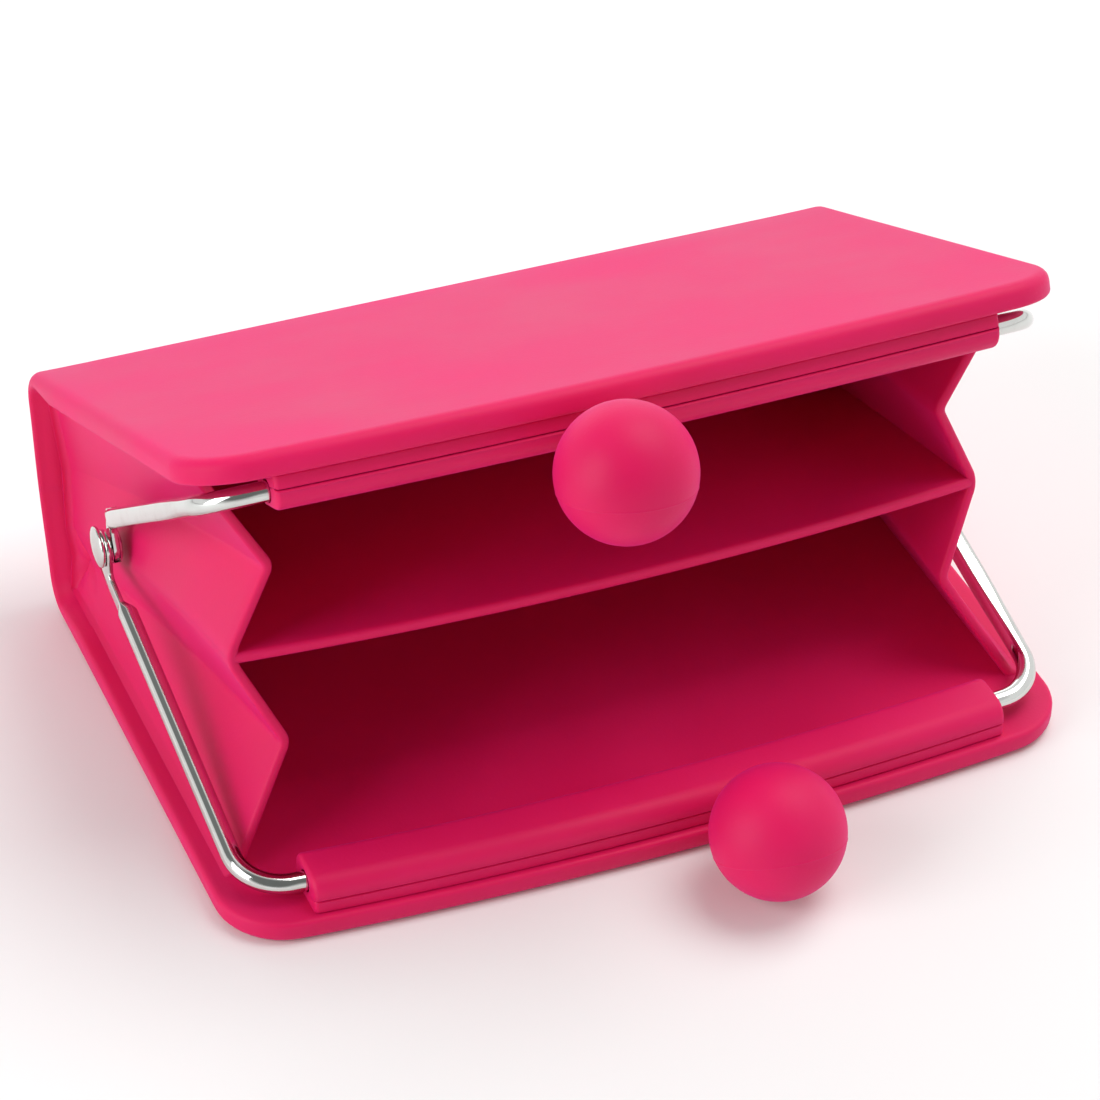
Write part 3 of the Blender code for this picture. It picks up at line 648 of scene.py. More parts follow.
def shell_half(layout):
    """One cover and its half of the spine: a flat plate with a soft rim, bent up at the back."""
    body, steps = layout.body, layout.quality.round_steps
    half, radius = layout.half_width, body.spine_corner
    sweep = math.pi / 2 - layout.half_angle
    tangent = radius * math.tan(sweep / 2)
    bend_start = body.depth - tangent
    bend_end = bend_start + radius * sweep
    rise = body.spine_height / 2 - tangent
    rear = bend_end + rise

    reach = half - body.corner * BOW_END
    front = [reach * (2 * step / FRONT_STEPS - 1) for step in range(FRONT_STEPS + 1)]
    points = [(-half, rear), (-half, layout.front_edge(half))]
    points += [(x, layout.front_edge(x)) for x in front]
    points += [(half, layout.front_edge(half)), (half, rear)]
    radii = [0.0, body.corner] + [0.0] * len(front) + [body.corner, 0.0]
    work = plate(rounded(points, radii, 2 * steps), body.thickness)

    def rim(height):
        return [
            edge
            for edge in work.edges
            if all(abs(vert.co.z - height) < WELD for vert in edge.verts)
            and not all(vert.co.y > rear - WELD for vert in edge.verts)
        ]

    rounding(work, rim(0.0), body.outer_rim, steps)
    rounding(work, rim(body.thickness), body.inner_rim, steps // 2)
    broad = [face for face in work.faces if face.calc_area() > body.width * body.depth / 2]
    bmesh.ops.inset_region(work, faces=broad, thickness=body.inner_rim, use_even_offset=True)

    cell = layout.quality.grid
    columns = int(body.width / cell)
    columns = [body.width * (step / columns - 0.5) for step in range(1, columns)]
    for inset in CROWN_ROWS:
        columns += [inset * body.crown - half, half - inset * body.crown]
    for column in columns:
        cut_across(work, (column, 0.0, 0.0), (1, 0, 0))
    levels = [cell * step for step in range(int(bend_start / cell))]
    for step in range(CORNER_STEPS + 1):
        levels.append(bend_start + radius * sweep * step / CORNER_STEPS)
    levels += [bend_end + rise * step / RISE_STEPS for step in range(1, RISE_STEPS)]
    for level in levels:
        cut_across(work, (0.0, level, 0.0), (0, 1, 0))

    def thickness_at(along):
        slim = ease((along - bend_start + tangent) / (bend_end - bend_start + tangent))
        return body.thickness + (body.spine_thickness - body.thickness) * slim

    for vert in work.verts:
        x, along, depth = vert.co
        depth *= thickness_at(along) / body.thickness
        if depth < body.thickness / 2:
            dip = 0.5 + 0.5 * noise.noise(Vector((x, along, 0.0)) * HOLLOW_RATE)
            for inside in (half - abs(x), along - layout.front_edge(x), rear - along):
                dip *= ease(inside / HOLLOW_MARGIN)
            depth += body.unevenness * dip
        else:
            slimmed = ease(1 - (half - abs(x)) / (CROWN_RUN * body.crown))
            depth -= body.crown * slimmed * ease((along - bend_start) / HOLLOW_MARGIN + 1)
        if along <= bend_start:
            s, n = along, depth
        elif along <= bend_end:
            turn = (along - bend_start) / radius
            s = bend_start + (radius - depth) * math.sin(turn)
            n = radius - (radius - depth) * math.cos(turn)
        else:
            beyond = along - bend_end
            inward = depth - body.spine_bulge * ease(beyond / rise)
            s = bend_start + (radius - inward) * math.sin(sweep) + beyond * math.cos(sweep)
            n = radius - (radius - inward) * math.cos(sweep) + beyond * math.sin(sweep)
        vert.co = layout.spot(x, s, n)
    return work


class WALLET_OT_covers(Operator):
    """Makes both covers, each with its half of the spine"""

    bl_idname = "wallet.covers"
    bl_label = "Covers and spine"

    def execute(self, context):
        layout = Layout(context.scene)
        surface = bpy.data.materials["satin_silicone"]
        lower = piece("lower_shell_skin", shell_half(layout), surface)
        upper = twin(lower, "upper_shell_skin", layout)
        foot = layout.spot(0.0, layout.body.depth, layout.body.thickness)
        head = layout.spot(0.0, layout.body.depth, layout.spine_middle.z)
        carry(lower, ("lower_shell", "middle", foot, head), ("lower_cover", "spine"))
        foot, head = layout.half_turn @ foot, layout.half_turn @ head
        carry(upper, ("upper_shell", "middle", foot, head), ("upper_cover",))
        return {"FINISHED"}


# Divider

# Points along the divider's bowed edge, rows of edges across it and along it
BOW_STEPS, SHELF_ROWS, SHELF_COLUMNS = 40, 20, 24
# How far out its sides begin to sink, and how far inside its edge its first row of edges runs
SHELF_FLAT, SHELF_INSET = 0.62, 0.0006
# Its sides end this far inside the pleats' outer face, in walls
SHELF_STOP = 0.6
# Rounding of its front edge, as a share of its thickness, and the segments of that
SHELF_RIM_SHARE, SHELF_RIM_STEPS = 0.35, 4


class WALLET_OT_divider(Operator):
    """Makes the thin shelf between the two spaces"""

    bl_idname = "wallet.divider"
    bl_label = "Divider"

    def execute(self, context):
        layout = Layout(context.scene)
        body, bellows = layout.body, layout.bellows
        half = layout.half_width - bellows.valley_inset - bellows.wall * SHELF_STOP
        reach = body.depth - body.divider_setback
        back = body.fold_setback - body.spine_thickness + body.spine_bulge
        points = [(-half, back), (-half, -reach)]
        rise = body.divider_bow
        arc = (half**2 + rise**2) / (2 * rise)
        for step in range(1, BOW_STEPS):
            x = half * (2 * step / BOW_STEPS - 1)
            points.append((x, -reach - (math.sqrt(arc**2 - x**2) - (arc - rise))))
        points += [(half, -reach), (half, back)]
        work = plate(points, body.divider_thickness)
        bmesh.ops.translate(work, verts=work.verts, vec=(0, 0, -body.divider_thickness / 2))
        front = [
            edge
            for edge in work.edges
            if all(vert.co.y < -reach + WELD for vert in edge.verts)
            and abs(edge.verts[0].co.z - edge.verts[1].co.z) < WELD
        ]
        rounding(work, front, body.divider_thickness * SHELF_RIM_SHARE, SHELF_RIM_STEPS)
        broad = [face for face in work.faces if face.calc_area() > body.width * body.depth / 4]
        bmesh.ops.inset_region(work, faces=broad, thickness=SHELF_INSET, use_even_offset=True)
        for step in range(1, SHELF_ROWS):
            cut_across(work, (0.0, -reach * step / SHELF_ROWS, 0.0), (0, 1, 0))
        for step in range(1, SHELF_COLUMNS):
            cut_across(work, (half * (2 * step / SHELF_COLUMNS - 1), 0.0, 0.0), (1, 0, 0))
        front_valley = valley_place(layout, reach, 1)
        for vert in work.verts:
            there = min(reach, max(0.0, -vert.co.y))
            valley = valley_place(layout, there, 1)
            level = layout.fold_axis + there * layout.forward
            aside = abs(vert.co.x) / half
            vert.co.x *= valley.x / front_valley.x
            share_down = ease((aside - SHELF_FLAT) / (1 - SHELF_FLAT))
            vert.co.z += (valley - level).dot(layout.up) * share_down
        place = Matrix.Translation(layout.fold_axis) @ Matrix.Rotation(-layout.half_angle, 4, "X")
        shelf = piece("divider_shelf", work, bpy.data.materials["satin_silicone_inside"], place)
        carry(shelf, ("middle",), ("divider",))
        return {"FINISHED"}


# Bellows

# The upper and lower pleat run into each other by this much
OVERLAP = 0.00003
# The line handed on with each pleat leans back a little, and is this long
BLEND_LEAN, BLEND_FOOT, BLEND_RUN = math.radians(4.5), 0.0003, 0.0150
# Each crease: how far before the spine it is, how high, and how much it slants
CREASES = ((0.0014, 0.0034, 0.5), (0.0030, 0.0052, -0.9))
CREASE_WIDTH, CREASE_LENGTH = 0.0006, 0.0022
# How late the fold between the pleats runs outward and sinks, and how rows crowd to the spine
FLARE_POWER, SAG_POWER, ROW_POWER = 1.8, 1.6, 1.8
# A slice's points: from its foot to the inward fold, from there to the valley, round the valley
LOW_SHARES = (0.0, 0.06, 0.12, 0.18, 0.24, 0.4, 0.6, 0.8)
HIGH_SHARES = (0.25, 0.5, 0.75)
VALLEY_SHARES = (0.0, 0.25, 0.5, 0.75, 1.0)
# Rounding of a pleat's front rim, as a share of its wall, and the segments of that
PLEAT_RIM_SHARE, PLEAT_RIM_STEPS = 0.4, 4
PLEAT_ROWS = 44


def valley_place(layout, reach, sinking):
    """The middle of the sheet on the fold between the pleats, this far from the fold axis."""
    body, bellows = layout.body, layout.bellows
    whole = body.depth - body.divider_setback
    back_share = min(1.0, max(0.0, 1 - reach / whole))
    x = layout.half_width - bellows.valley_inset - bellows.wall / 2
    x += bellows.flare * back_share**FLARE_POWER
    drop = sinking * bellows.sag * back_share**SAG_POWER
    return layout.fold_axis + Vector((x, 0.0, 0.0)) + reach * layout.forward - drop * layout.up


def hollow(distance, radius):
    """How far a sheet curves aside, this far before the face it runs into."""
    beside = min(radius, max(0.0, radius - distance))
    return radius - math.sqrt(radius**2 - beside**2)


def pleat_row(foot, top, depth, layout):
    """One slice across a pleat: its foot, the round inward fold, half the round valley."""
    bellows, steps = layout.bellows, layout.quality.round_steps
    aside = Vector((1.0, 0.0, 0.0))
    peak = foot.lerp(top, bellows.height_share) - aside * depth
    soft = bellows.valley_round
    lean = 0.0
    for _ in range(4):
        start = top - layout.up * (soft * math.sin(lean)) - aside * (soft * (1 - math.cos(lean)))
        lean = (start - peak).angle(layout.up)
    before, after = (foot - peak).normalized(), (start - peak).normalized()
    half = before.angle(after) / 2
    run = bellows.fold_round / math.tan(half)
    centre = peak + (before + after).normalized() * (bellows.fold_round / math.sin(half))
    first = (peak + before * run - centre).normalized()
    last = (peak + after * run - centre).normalized()
    low, high = peak + before * run, peak + after * run
    row = [foot.lerp(low, part) for part in LOW_SHARES]
    for step in range(steps + 1):
        way = (first * (1 - step / steps) + last * (step / steps)).normalized()
        row.append(centre + way * bellows.fold_round)
    row += [high.lerp(start, part) for part in HIGH_SHARES]
    for part in VALLEY_SHARES:
        turn = lean * (1 - part)
        inward = aside * (soft * (1 - math.cos(turn)))
        row.append(top - layout.up * (soft * math.sin(turn)) - inward)
    return row


def bellows_half(layout, sinking):
    """The lower pleat of the right-hand bellows, as a sheet that is given its wall."""
    body, bellows = layout.body, layout.bellows
    foot_x = layout.half_width - bellows.base_inset - bellows.wall / 2
    half_wall = bellows.wall / 2
    whole = body.depth - body.divider_setback
    inner_face = body.spine_thickness - body.fold_setback
    back_s = body.depth - body.spine_thickness
    rows = []
    for step in range(PLEAT_ROWS + 1):
        back_share = 1 - (1 - step / PLEAT_ROWS) ** ROW_POWER
        before_spine = (1 - back_share) * (whole - inner_face + half_wall) - half_wall
        s = bellows.setback + (back_s + half_wall - bellows.setback) * back_share
        foot = layout.spot(foot_x, s, body.thickness - half_wall)
        top = valley_place(layout, inner_face + before_spine, sinking) + OVERLAP * layout.up
        depth = bellows.depth + (bellows.fade - bellows.depth) * back_share
        aside = hollow(before_spine + half_wall, bellows.spine_fillet + half_wall)
        row = []
        for place in pleat_row(foot, top, depth, layout):
            above = place.z - body.thickness
            spread = max(aside, hollow(above + half_wall, bellows.foot_fillet + half_wall))
            for centre, height, slant in CREASES if sinking > 0 else ():
                off = (before_spine - centre - slant * (above - height)) / CREASE_WIDTH
                along = (above - height) / CREASE_LENGTH
                spread -= bellows.crease * math.exp(-(off**2) - along**2)
            row.append(place + Vector((spread, 0.0, 0.0)))
        rows.append(row)
    work = bmesh.new()
    across = len(rows[0]) - 1
    bmesh.ops.create_grid(work, x_segments=across, y_segments=PLEAT_ROWS, size=0.5)
    front = set()
    for vert in work.verts:
        row = round((vert.co.y + 0.5) * PLEAT_ROWS)
        vert.co = rows[row][round((vert.co.x + 0.5) * across)]
        if row == 0:
            front.add(vert)
    weight = work.edges.layers.float.new("bevel_weight_edge")
    for edge in work.edges:
        edge[weight] = 1.0 if edge.verts[0] in front and edge.verts[1] in front else 0.0
    bmesh.ops.recalc_face_normals(work, faces=work.faces)
    return work


def walled(obj, thickness, rim, segments):
    """Gives a sheet its wall, both ways, and rounds its marked edges."""
    wall = obj.modifiers.new("Wall", "SOLIDIFY")
    wall.thickness = thickness
    wall.offset = 0.0
    wall.use_even_offset = True
    soft = obj.modifiers.new("Rim", "BEVEL")
    soft.width = rim
    soft.segments = segments
    soft.limit_method = "WEIGHT"
    applied(obj)


class WALLET_OT_bellows(Operator):
    """Makes the four pleats of the two sides"""

    bl_idname = "wallet.bellows"
    bl_label = "Pleated sides"

    def execute(self, context):
        layout = Layout(context.scene)
        surface = bpy.data.materials["satin_silicone_inside"]
        lean = Matrix.Rotation(-BLEND_LEAN, 3, "X") @ Vector((0.0, 0.0, 1.0))
        foot = layout.spot(0.0, layout.body.depth, layout.body.thickness + BLEND_FOOT)
        head = foot + lean * BLEND_RUN
        turn = layout.half_turn
        wall = layout.bellows.wall
        lower = piece("right_pleat_lower", bellows_half(layout, 1), surface)
        other = piece("pleat", bellows_half(layout, -1), surface)
        for sheet in (lower, other):
            walled(sheet, wall, wall * PLEAT_RIM_SHARE, PLEAT_RIM_STEPS)
        pairs = (
            (lower, other, "right", "left"),
            (reflected(lower, "left_pleat_lower"), reflected(other, "pleat_too"), "left", "right"),
        )
        for low, high, side, far_side in pairs:
            upper = twin(high, f"{far_side}_pleat_upper", layout)
            bpy.data.objects.remove(high)
            over = ("lower_shell", "middle", foot, head)
            carry(low, over, (f"{side}_bellows_lower",))
            over = ("upper_shell", "middle", turn @ foot, turn @ head)
            carry(upper, over, (f"{far_side}_bellows_upper",))
        return {"FINISHED"}


# Sleeves

# Rounding of a sleeve's foot
SLEEVE_FOOT = 0.00035
# The slit's mouth opens out at these depths, and the lip above it lies at these heights
MOUTH_OUTER, MOUTH_INNER = 0.00012, 0.00035
LIP_LOW, LIP_HIGH = 0.00028, 0.00050
BORE_STEPS, SLEEVE_STEPS = 28, 44


def sleeve(layout):
    """A soft strip with a bore for the bar and a slit into it, bowed like the front edge."""
    body, wire, steps = layout.body, layout.frame, layout.quality.round_steps
    base = body.thickness
    height = wire.sleeve_top - base
    depth = wire.sleeve_depth
    bore = wire.wire / 2 + wire.bore_clearance
    end_edge = layout.front_edge(layout.sleeve_half)
    bore_across = wire.bar_setback - end_edge - wire.sleeve_inset
    bore_up = wire.bar_height - base
    slit_up = wire.slit_height - base
    corners = [(0.0, 0.0), (depth, 0.0), (depth, height), (0.0, height)]
    radii = [SLEEVE_FOOT, SLEEVE_FOOT, wire.sleeve_back, wire.sleeve_front]
    outline = rounded(corners, radii, steps)
    slit = wire.slit
    outline += [Vector((0.0, slit_up + LIP_HIGH)), Vector((-wire.lip, slit_up + LIP_LOW))]
    mouth = ((0.0, 2.0), (MOUTH_OUTER, 0.9), (MOUTH_INNER, 0.5))
    outline += [Vector((across, slit_up + slit * part)) for across, part in mouth]
    drop = bore_up - slit_up
    top_angle = math.pi + math.asin((drop - slit / 2) / bore)
    low_angle = math.pi + math.asin((drop + slit / 2) / bore)
    full = math.tau - (low_angle - top_angle)
    for step in range(BORE_STEPS + 1):
        turn = top_angle - full * step / BORE_STEPS
        across, up = bore * math.cos(turn), bore * math.sin(turn)
        outline.append(Vector((bore_across + across, bore_up + up)))
    outline += [Vector((across, slit_up - slit * part)) for across, part in reversed(mouth)]

    reach = layout.sleeve_half - wire.sleeve_end_round
    end = []
    for step in range(steps, 0, -1):
        turn = math.pi / 2 * step / steps
        end.append((reach + wire.sleeve_end_round * math.sin(turn), 1 - math.cos(turn)))
    stations = [(-x, shrink) for x, shrink in end]
    stations += [(reach * (2 * step / SLEEVE_STEPS - 1), 0.0) for step in range(SLEEVE_STEPS + 1)]
    stations += reversed(end)

    work = bmesh.new()
    face = work.faces.new([work.verts.new((0.0, place.x, place.y)) for place in outline])
    extruded(work, [face], (1.0, 0.0, 0.0))
    long_edges = [edge for edge in work.edges if abs(edge.verts[0].co.x - edge.verts[1].co.x) > 0.5]
    bmesh.ops.subdivide_edges(work, edges=long_edges, cuts=len(stations) - 2, use_grid_fill=True)
    for vert in work.verts:
        index = round(vert.co.x * (len(stations) - 1))
        x, shrink = stations[index]
        across, up = vert.co.y, vert.co.z
        ahead = layout.front_edge(x) - end_edge
        if math.hypot(across - bore_across, up - bore_up) < bore + WELD:
            across += ahead * (math.cos(layout.arm_angle) - 1)
            up += ahead * math.sin(layout.arm_angle)
        else:
            inset = wire.sleeve_end_round * shrink
            across = depth / 2 + (across - depth / 2) * (1 - 2 * inset / depth)
            up = up * (1 - inset / height)
        vert.co = layout.spot(x, layout.front_edge(x) + wire.sleeve_inset + across, base + up)
    bmesh.ops.recalc_face_normals(work, faces=work.faces)
    return work


class WALLET_OT_sleeves(Operator):
    """Makes the two sleeves that hold the bars of the frame"""

    bl_idname = "wallet.sleeves"
    bl_label = "Sleeves"

    def execute(self, context):
        layout = Layout(context.scene)
        lower = piece("lower_sleeve_strip", sleeve(layout), bpy.data.materials["satin_silicone"])
        carry_both(lower, "upper_sleeve_strip", layout, "shell", "sleeve")
        return {"FINISHED"}


# Wire frame

# Segments round the wire, along half its bar, round its bend, and along its arm and its flat end
WIRE_STEPS, BAR_STEPS, BEND_STEPS, ARM_STEPS = 28, 22, 14, 12
# A pressed section's corners: how much squarer than round they can get
SQUARENESS = 0.65
# A flat end stays this share of its eye's size, inside the eye's plate, and laps it by this much
FLAT_SHARE, STRIP_LAP = 0.49, 0.0003
# An arm goes over to its pressed section in this many of its steps
PRESS_STEPS = 4
# Largest rounding of an eye's plain corners, and the snug fit of the rivet in its own eye
EYE_CORNER, RIVET_FIT = 0.0011, 0.00005
# Rounding of an eye's head as a share of its radius, and of its rims as a share of its thickness
EYE_HEAD_SHARE, EYE_RIM_SHARE, EYE_RIM_STEPS = 0.9, 0.28, 3


def new_end(made):
    """The vertices that an operator made last, and the edges that run between them."""
    verts = [item for item in made if isinstance(item, bmesh.types.BMVert)]
    ends = set(verts)
    edges = [item for item in made if isinstance(item, bmesh.types.BMEdge)]
    return verts, [edge for edge in edges if ends.issuperset(edge.verts)]


def wire_half(layout, side, neck, lap, taper, square):
    """Half of a bail: bar, bend and arm, with its end pressed flat towards its eye."""
    wire = layout.frame
    radius = wire.wire / 2
    end_edge = layout.front_edge(layout.sleeve_half)
    bar_reach = layout.arm_half - wire.bend
    work = bmesh.new()
    around = work.verts.layers.float.new("around")
    made = bmesh.ops.create_circle(work, cap_ends=False, radius=radius, segments=WIRE_STEPS)
    verts, edges = made["verts"], work.edges[:]
    upright = Matrix.Rotation(math.pi / 2, 3, "Y")
    bmesh.ops.rotate(work, verts=verts, cent=(0, 0, 0), matrix=upright)
    rows = [(verts, 0.0)]
    for step in range(1, BAR_STEPS + 1):
        verts, edges = new_end(bmesh.ops.extrude_edge_only(work, edges=edges)["geom"])
        bmesh.ops.translate(work, verts=verts, vec=(bar_reach / BAR_STEPS, 0.0, 0.0))
        rows.append((verts, bar_reach * step / BAR_STEPS))
    for row, x in rows:
        bmesh.ops.translate(work, verts=row, vec=(0.0, layout.front_edge(x) - end_edge, 0.0))
    along = layout.front_edge(bar_reach) - end_edge
    bent = bmesh.ops.spin(
        work,
        geom=verts + edges,
        cent=(bar_reach, along + wire.bend, 0.0),
        axis=(0.0, 0.0, 1.0),
        angle=math.pi / 2,
        steps=BEND_STEPS,
    )
    verts, edges = new_end(bent["geom_last"])
    middle = sum((vert.co for vert in verts), Vector()) / len(verts)
    for vert in verts:
        vert[around] = math.atan2(vert.co.z - middle.z, vert.co.x - middle.x)

    def next_ring(centre_y, flat, wide, shift, square):
        """One more ring of the arm: flat and wide are its half sizes across and in the plane."""
        nonlocal verts, edges
        verts, edges = new_end(bmesh.ops.extrude_edge_only(work, edges=edges)["geom"])
        power = 1 - SQUARENESS * square
        for vert in verts:
            across, up = math.cos(vert[around]), math.sin(vert[around])
            out = flat * math.copysign(abs(across) ** power, across)
            vert.co.x = layout.arm_half + shift + out
            vert.co.y = centre_y
            vert.co.z = wide * math.copysign(abs(up) ** power, up)

    start = along + wire.bend
    shoulder = layout.arm_length - lap
    for step in range(1, ARM_STEPS + 1):
        pressed = square * ease(step / PRESS_STEPS)
        centre_y = start + (shoulder - start) * step / ARM_STEPS
        next_ring(centre_y, radius, radius, 0.0, pressed)
    step_over = side * (wire.eye_thickness + wire.eye_gap) / 2
    for step in range(1, ARM_STEPS + 1):
        part = ease(step / ARM_STEPS)
        flat = radius + (wire.eye_thickness * FLAT_SHARE - radius) * part
        wide = radius + (neck * FLAT_SHARE - radius) * part
        centre_y = shoulder + taper * step / ARM_STEPS
        next_ring(centre_y, flat, wide, step_over * part, max(pressed, part))
    bmesh.ops.edgeloop_fill(work, edges=edges)
    return work


def eye(layout, neck, strip, run, hole_radius):
    """The flattened wire end, a plate that steps over to a ring round the rivet."""
    wire = layout.frame
    back = layout.arm_length
    half_neck = neck / 2
    corner = min(half_neck, EYE_CORNER)
    start = back - strip
    points = [
        (start, -half_neck),
        (back + run, -half_neck),
        (back + wire.eye_radius, wire.eye_offset + wire.eye_radius),
        (back - wire.eye_radius, wire.eye_offset + wire.eye_radius),
        (back - wire.eye_radius - half_neck, half_neck),
        (start, half_neck),
    ]
    head = wire.eye_radius * EYE_HEAD_SHARE
    outline = rounded(points, [0.0, corner, head, head, corner, 0.0], layout.quality.round_steps)
    work = plate(outline, wire.eye_thickness)
    bmesh.ops.translate(work, verts=work.verts, vec=(0, 0, -wire.eye_thickness / 2))
    rims = [edge for edge in work.edges if abs(edge.verts[0].co.z - edge.verts[1].co.z) < WELD]
    rounding(work, rims, wire.eye_thickness * EYE_RIM_SHARE, EYE_RIM_STEPS)
    surface = bpy.data.materials["polished_nickel"]
    flat_end = piece("eye", work, surface)
    long = wire.wire
    profile = [(0.0, long), (hole_radius, long), (hole_radius, -long), (0.0, -long)]
    place = Matrix.Translation((back, wire.eye_offset, 0.0))
    drill = piece("drill", turned(profile, layout.quality.turn_steps), surface, place)
    return combined(flat_end, [drill], "DIFFERENCE")


class WALLET_OT_bails(Operator):
    """Makes the two bent wires of the frame with their flattened eyes"""

    bl_idname = "wallet.bails"
    bl_label = "Wire frame"

    def execute(self, context):
        layout = Layout(context.scene)
        wire = layout.frame
        surface = bpy.data.materials["polished_nickel"]
        inner = (wire.inner_neck, wire.inner_lap, wire.inner_taper)
        outer = (wire.outer_neck, wire.outer_lap, wire.outer_taper)
        right = wire_half(layout, -1, *inner, wire.inner_square)
        left = wire_half(layout, 1, *outer, 0.0)
        left_mesh = bpy.data.meshes.new("left")
        left.to_mesh(left_mesh)
        left.free()
        left_mesh.transform(MIRROR)
        right.from_mesh(left_mesh)
        bpy.data.meshes.remove(left_mesh)
        bmesh.ops.remove_doubles(right, verts=right.verts, dist=WELD * 10)
        bmesh.ops.recalc_face_normals(right, faces=right.faces)
        lower = piece("lower_wire", right, surface)
        aside = (wire.eye_thickness + wire.eye_gap) / 2
        eyes = []
        for x, (neck, lap, taper), run, hole in (
            (-layout.arm_half - aside, outer, wire.outer_run, wire.rivet + RIVET_FIT),
            (layout.arm_half - aside, inner, -wire.inner_stop, wire.rivet + wire.rivet_play),
        ):
            end = eye(layout, neck, lap - taper + STRIP_LAP, run, hole)
            end.data.transform(Matrix.Translation((x, 0, 0)) @ SIDEWAYS)
            eyes.append(end)
        combined(lower, eyes, "UNION")
        lower.data.transform(layout.bail_plane)
        carry_both(lower, "upper_wire", layout, "frame", "bail")
        return {"FINISHED"}


# Segments of a rivet's dome, and the edge under it as a share of the dome's height
DOME_STEPS, DOME_EDGE = 10, 0.4
# That edge is cut back below, up and in by these shares of its height
UP_SHARE, IN_SHARE = 0.4, 0.25
# The riveted tail from its foot to its tip: share of the shank's radius, height of metal
TAIL = ((1.0, 0.0), (1.45, 0.0), (1.5, 0.0001), (1.25, 0.00025), (0.5, 0.00028), (0.0, 0.0002))
# Room of a washer round the shank, and its rims' bevel as a share of its thickness
WASHER_FIT, WASHER_RIM_SHARE = 0.00003, 0.3


class WALLET_OT_rivets(Operator):
    """Makes the domed rivets and the washers under their tails"""

    bl_idname = "wallet.rivets"
    bl_label = "Rivets and washers"

    def execute(self, context):
        layout = Layout(context.scene)
        wire, steps = layout.frame, layout.quality.turn_steps
        surface = bpy.data.materials["polished_nickel"]
        outside = layout.arm_half + wire.eye_gap / 2 + wire.eye_thickness
        inside = layout.arm_half - wire.eye_gap / 2 - wire.eye_thickness
        place = Matrix.Translation((0.0, layout.pivot.y, layout.pivot.z))
        place = place @ Matrix.Rotation(-math.pi / 2, 4, "Y")
        top, rim = outside + wire.eye_gap / 2, wire.rivet_dome * DOME_EDGE
        tail = inside - wire.eye_gap - wire.washer_thickness
        profile = []
        for step in range(DOME_STEPS + 1):
            turn = math.pi / 2 * step / DOME_STEPS
            rise = (wire.rivet_dome - rim) * math.cos(turn)
            profile.append((wire.rivet_head * math.sin(turn), top + rim + rise))
        profile += [
            (wire.rivet_head, top + rim * UP_SHARE),
            (wire.rivet_head - rim * IN_SHARE, top),
            (wire.rivet, top),
        ]
        profile += [(wire.rivet * out, tail - down) for out, down in TAIL]
        rivet = piece("left_rivet_dome", turned(profile, steps), surface, place)
        high = inside - wire.eye_gap
        low = high - wire.washer_thickness
        hole, soft = wire.rivet + WASHER_FIT, wire.washer_thickness * WASHER_RIM_SHARE
        edge = wire.washer
        ring = [(edge - soft, high), (edge, high - soft), (edge, low + soft), (edge - soft, low)]
        ring += [(hole, low), (hole, high)]
        washer = piece("left_washer_ring", turned(ring, steps, True), surface, place)
        for obj, part, shape in ((rivet, "rivet", "dome"), (washer, "washer", "ring")):
            carry(obj, ("lower_frame",), (f"left_{part}",))
            other = twin(obj, f"right_{part}_{shape}", layout)
            carry(other, ("upper_frame",), (f"right_{part}",))
        return {"FINISHED"}


# Clasp

BALL_STEPS = 48
# The mould ridge's rings stand this angle apart. It fades out over so many of these steps to each
# side, and the ball's other rings keep so many away
RIDGE_STEP, RIDGE_FADE, RIDGE_CLEAR = 0.010, 1.5, 2.2
# The poles of the mould in which each ball was made
LOWER_POLE, UPPER_POLE = (0.0, 0.45, 0.89), (0.05, 0.30, 0.95)
# A stud's foot on the bar: share of its radius, height over the bar
STUD_FOOT = ((1.0, 0.0014), (1.12, 0.0007), (1.4, 0.0002))


def ball(layout, centre, pole):
    """A silicone ball with the faint ridge where its mould parted."""
    clasp = layout.clasp
    profile = []
    line = math.acos(-clasp.parting / clasp.radius)
    angles = [math.pi * step / BALL_STEPS for step in range(BALL_STEPS + 1)]
    angles = [turn for turn in angles if abs(turn - line) > RIDGE_CLEAR * RIDGE_STEP]
    angles += [line + RIDGE_STEP * step for step in range(-2, 3)]
    for turn in sorted(angles):
        lift = clasp.ridge * max(0.0, 1 - abs(turn - line) / (RIDGE_FADE * RIDGE_STEP))
        reach = clasp.radius - clasp.ridge + lift
        profile.append((max(0.0, reach * math.sin(turn)), reach * math.cos(turn)))
    work = turned(profile, layout.quality.turn_steps * 2)
    tilt = Vector((0.0, 0.0, 1.0)).rotation_difference(Vector(pole)).to_matrix().to_4x4()
    return work, Matrix.Translation(centre) @ tilt


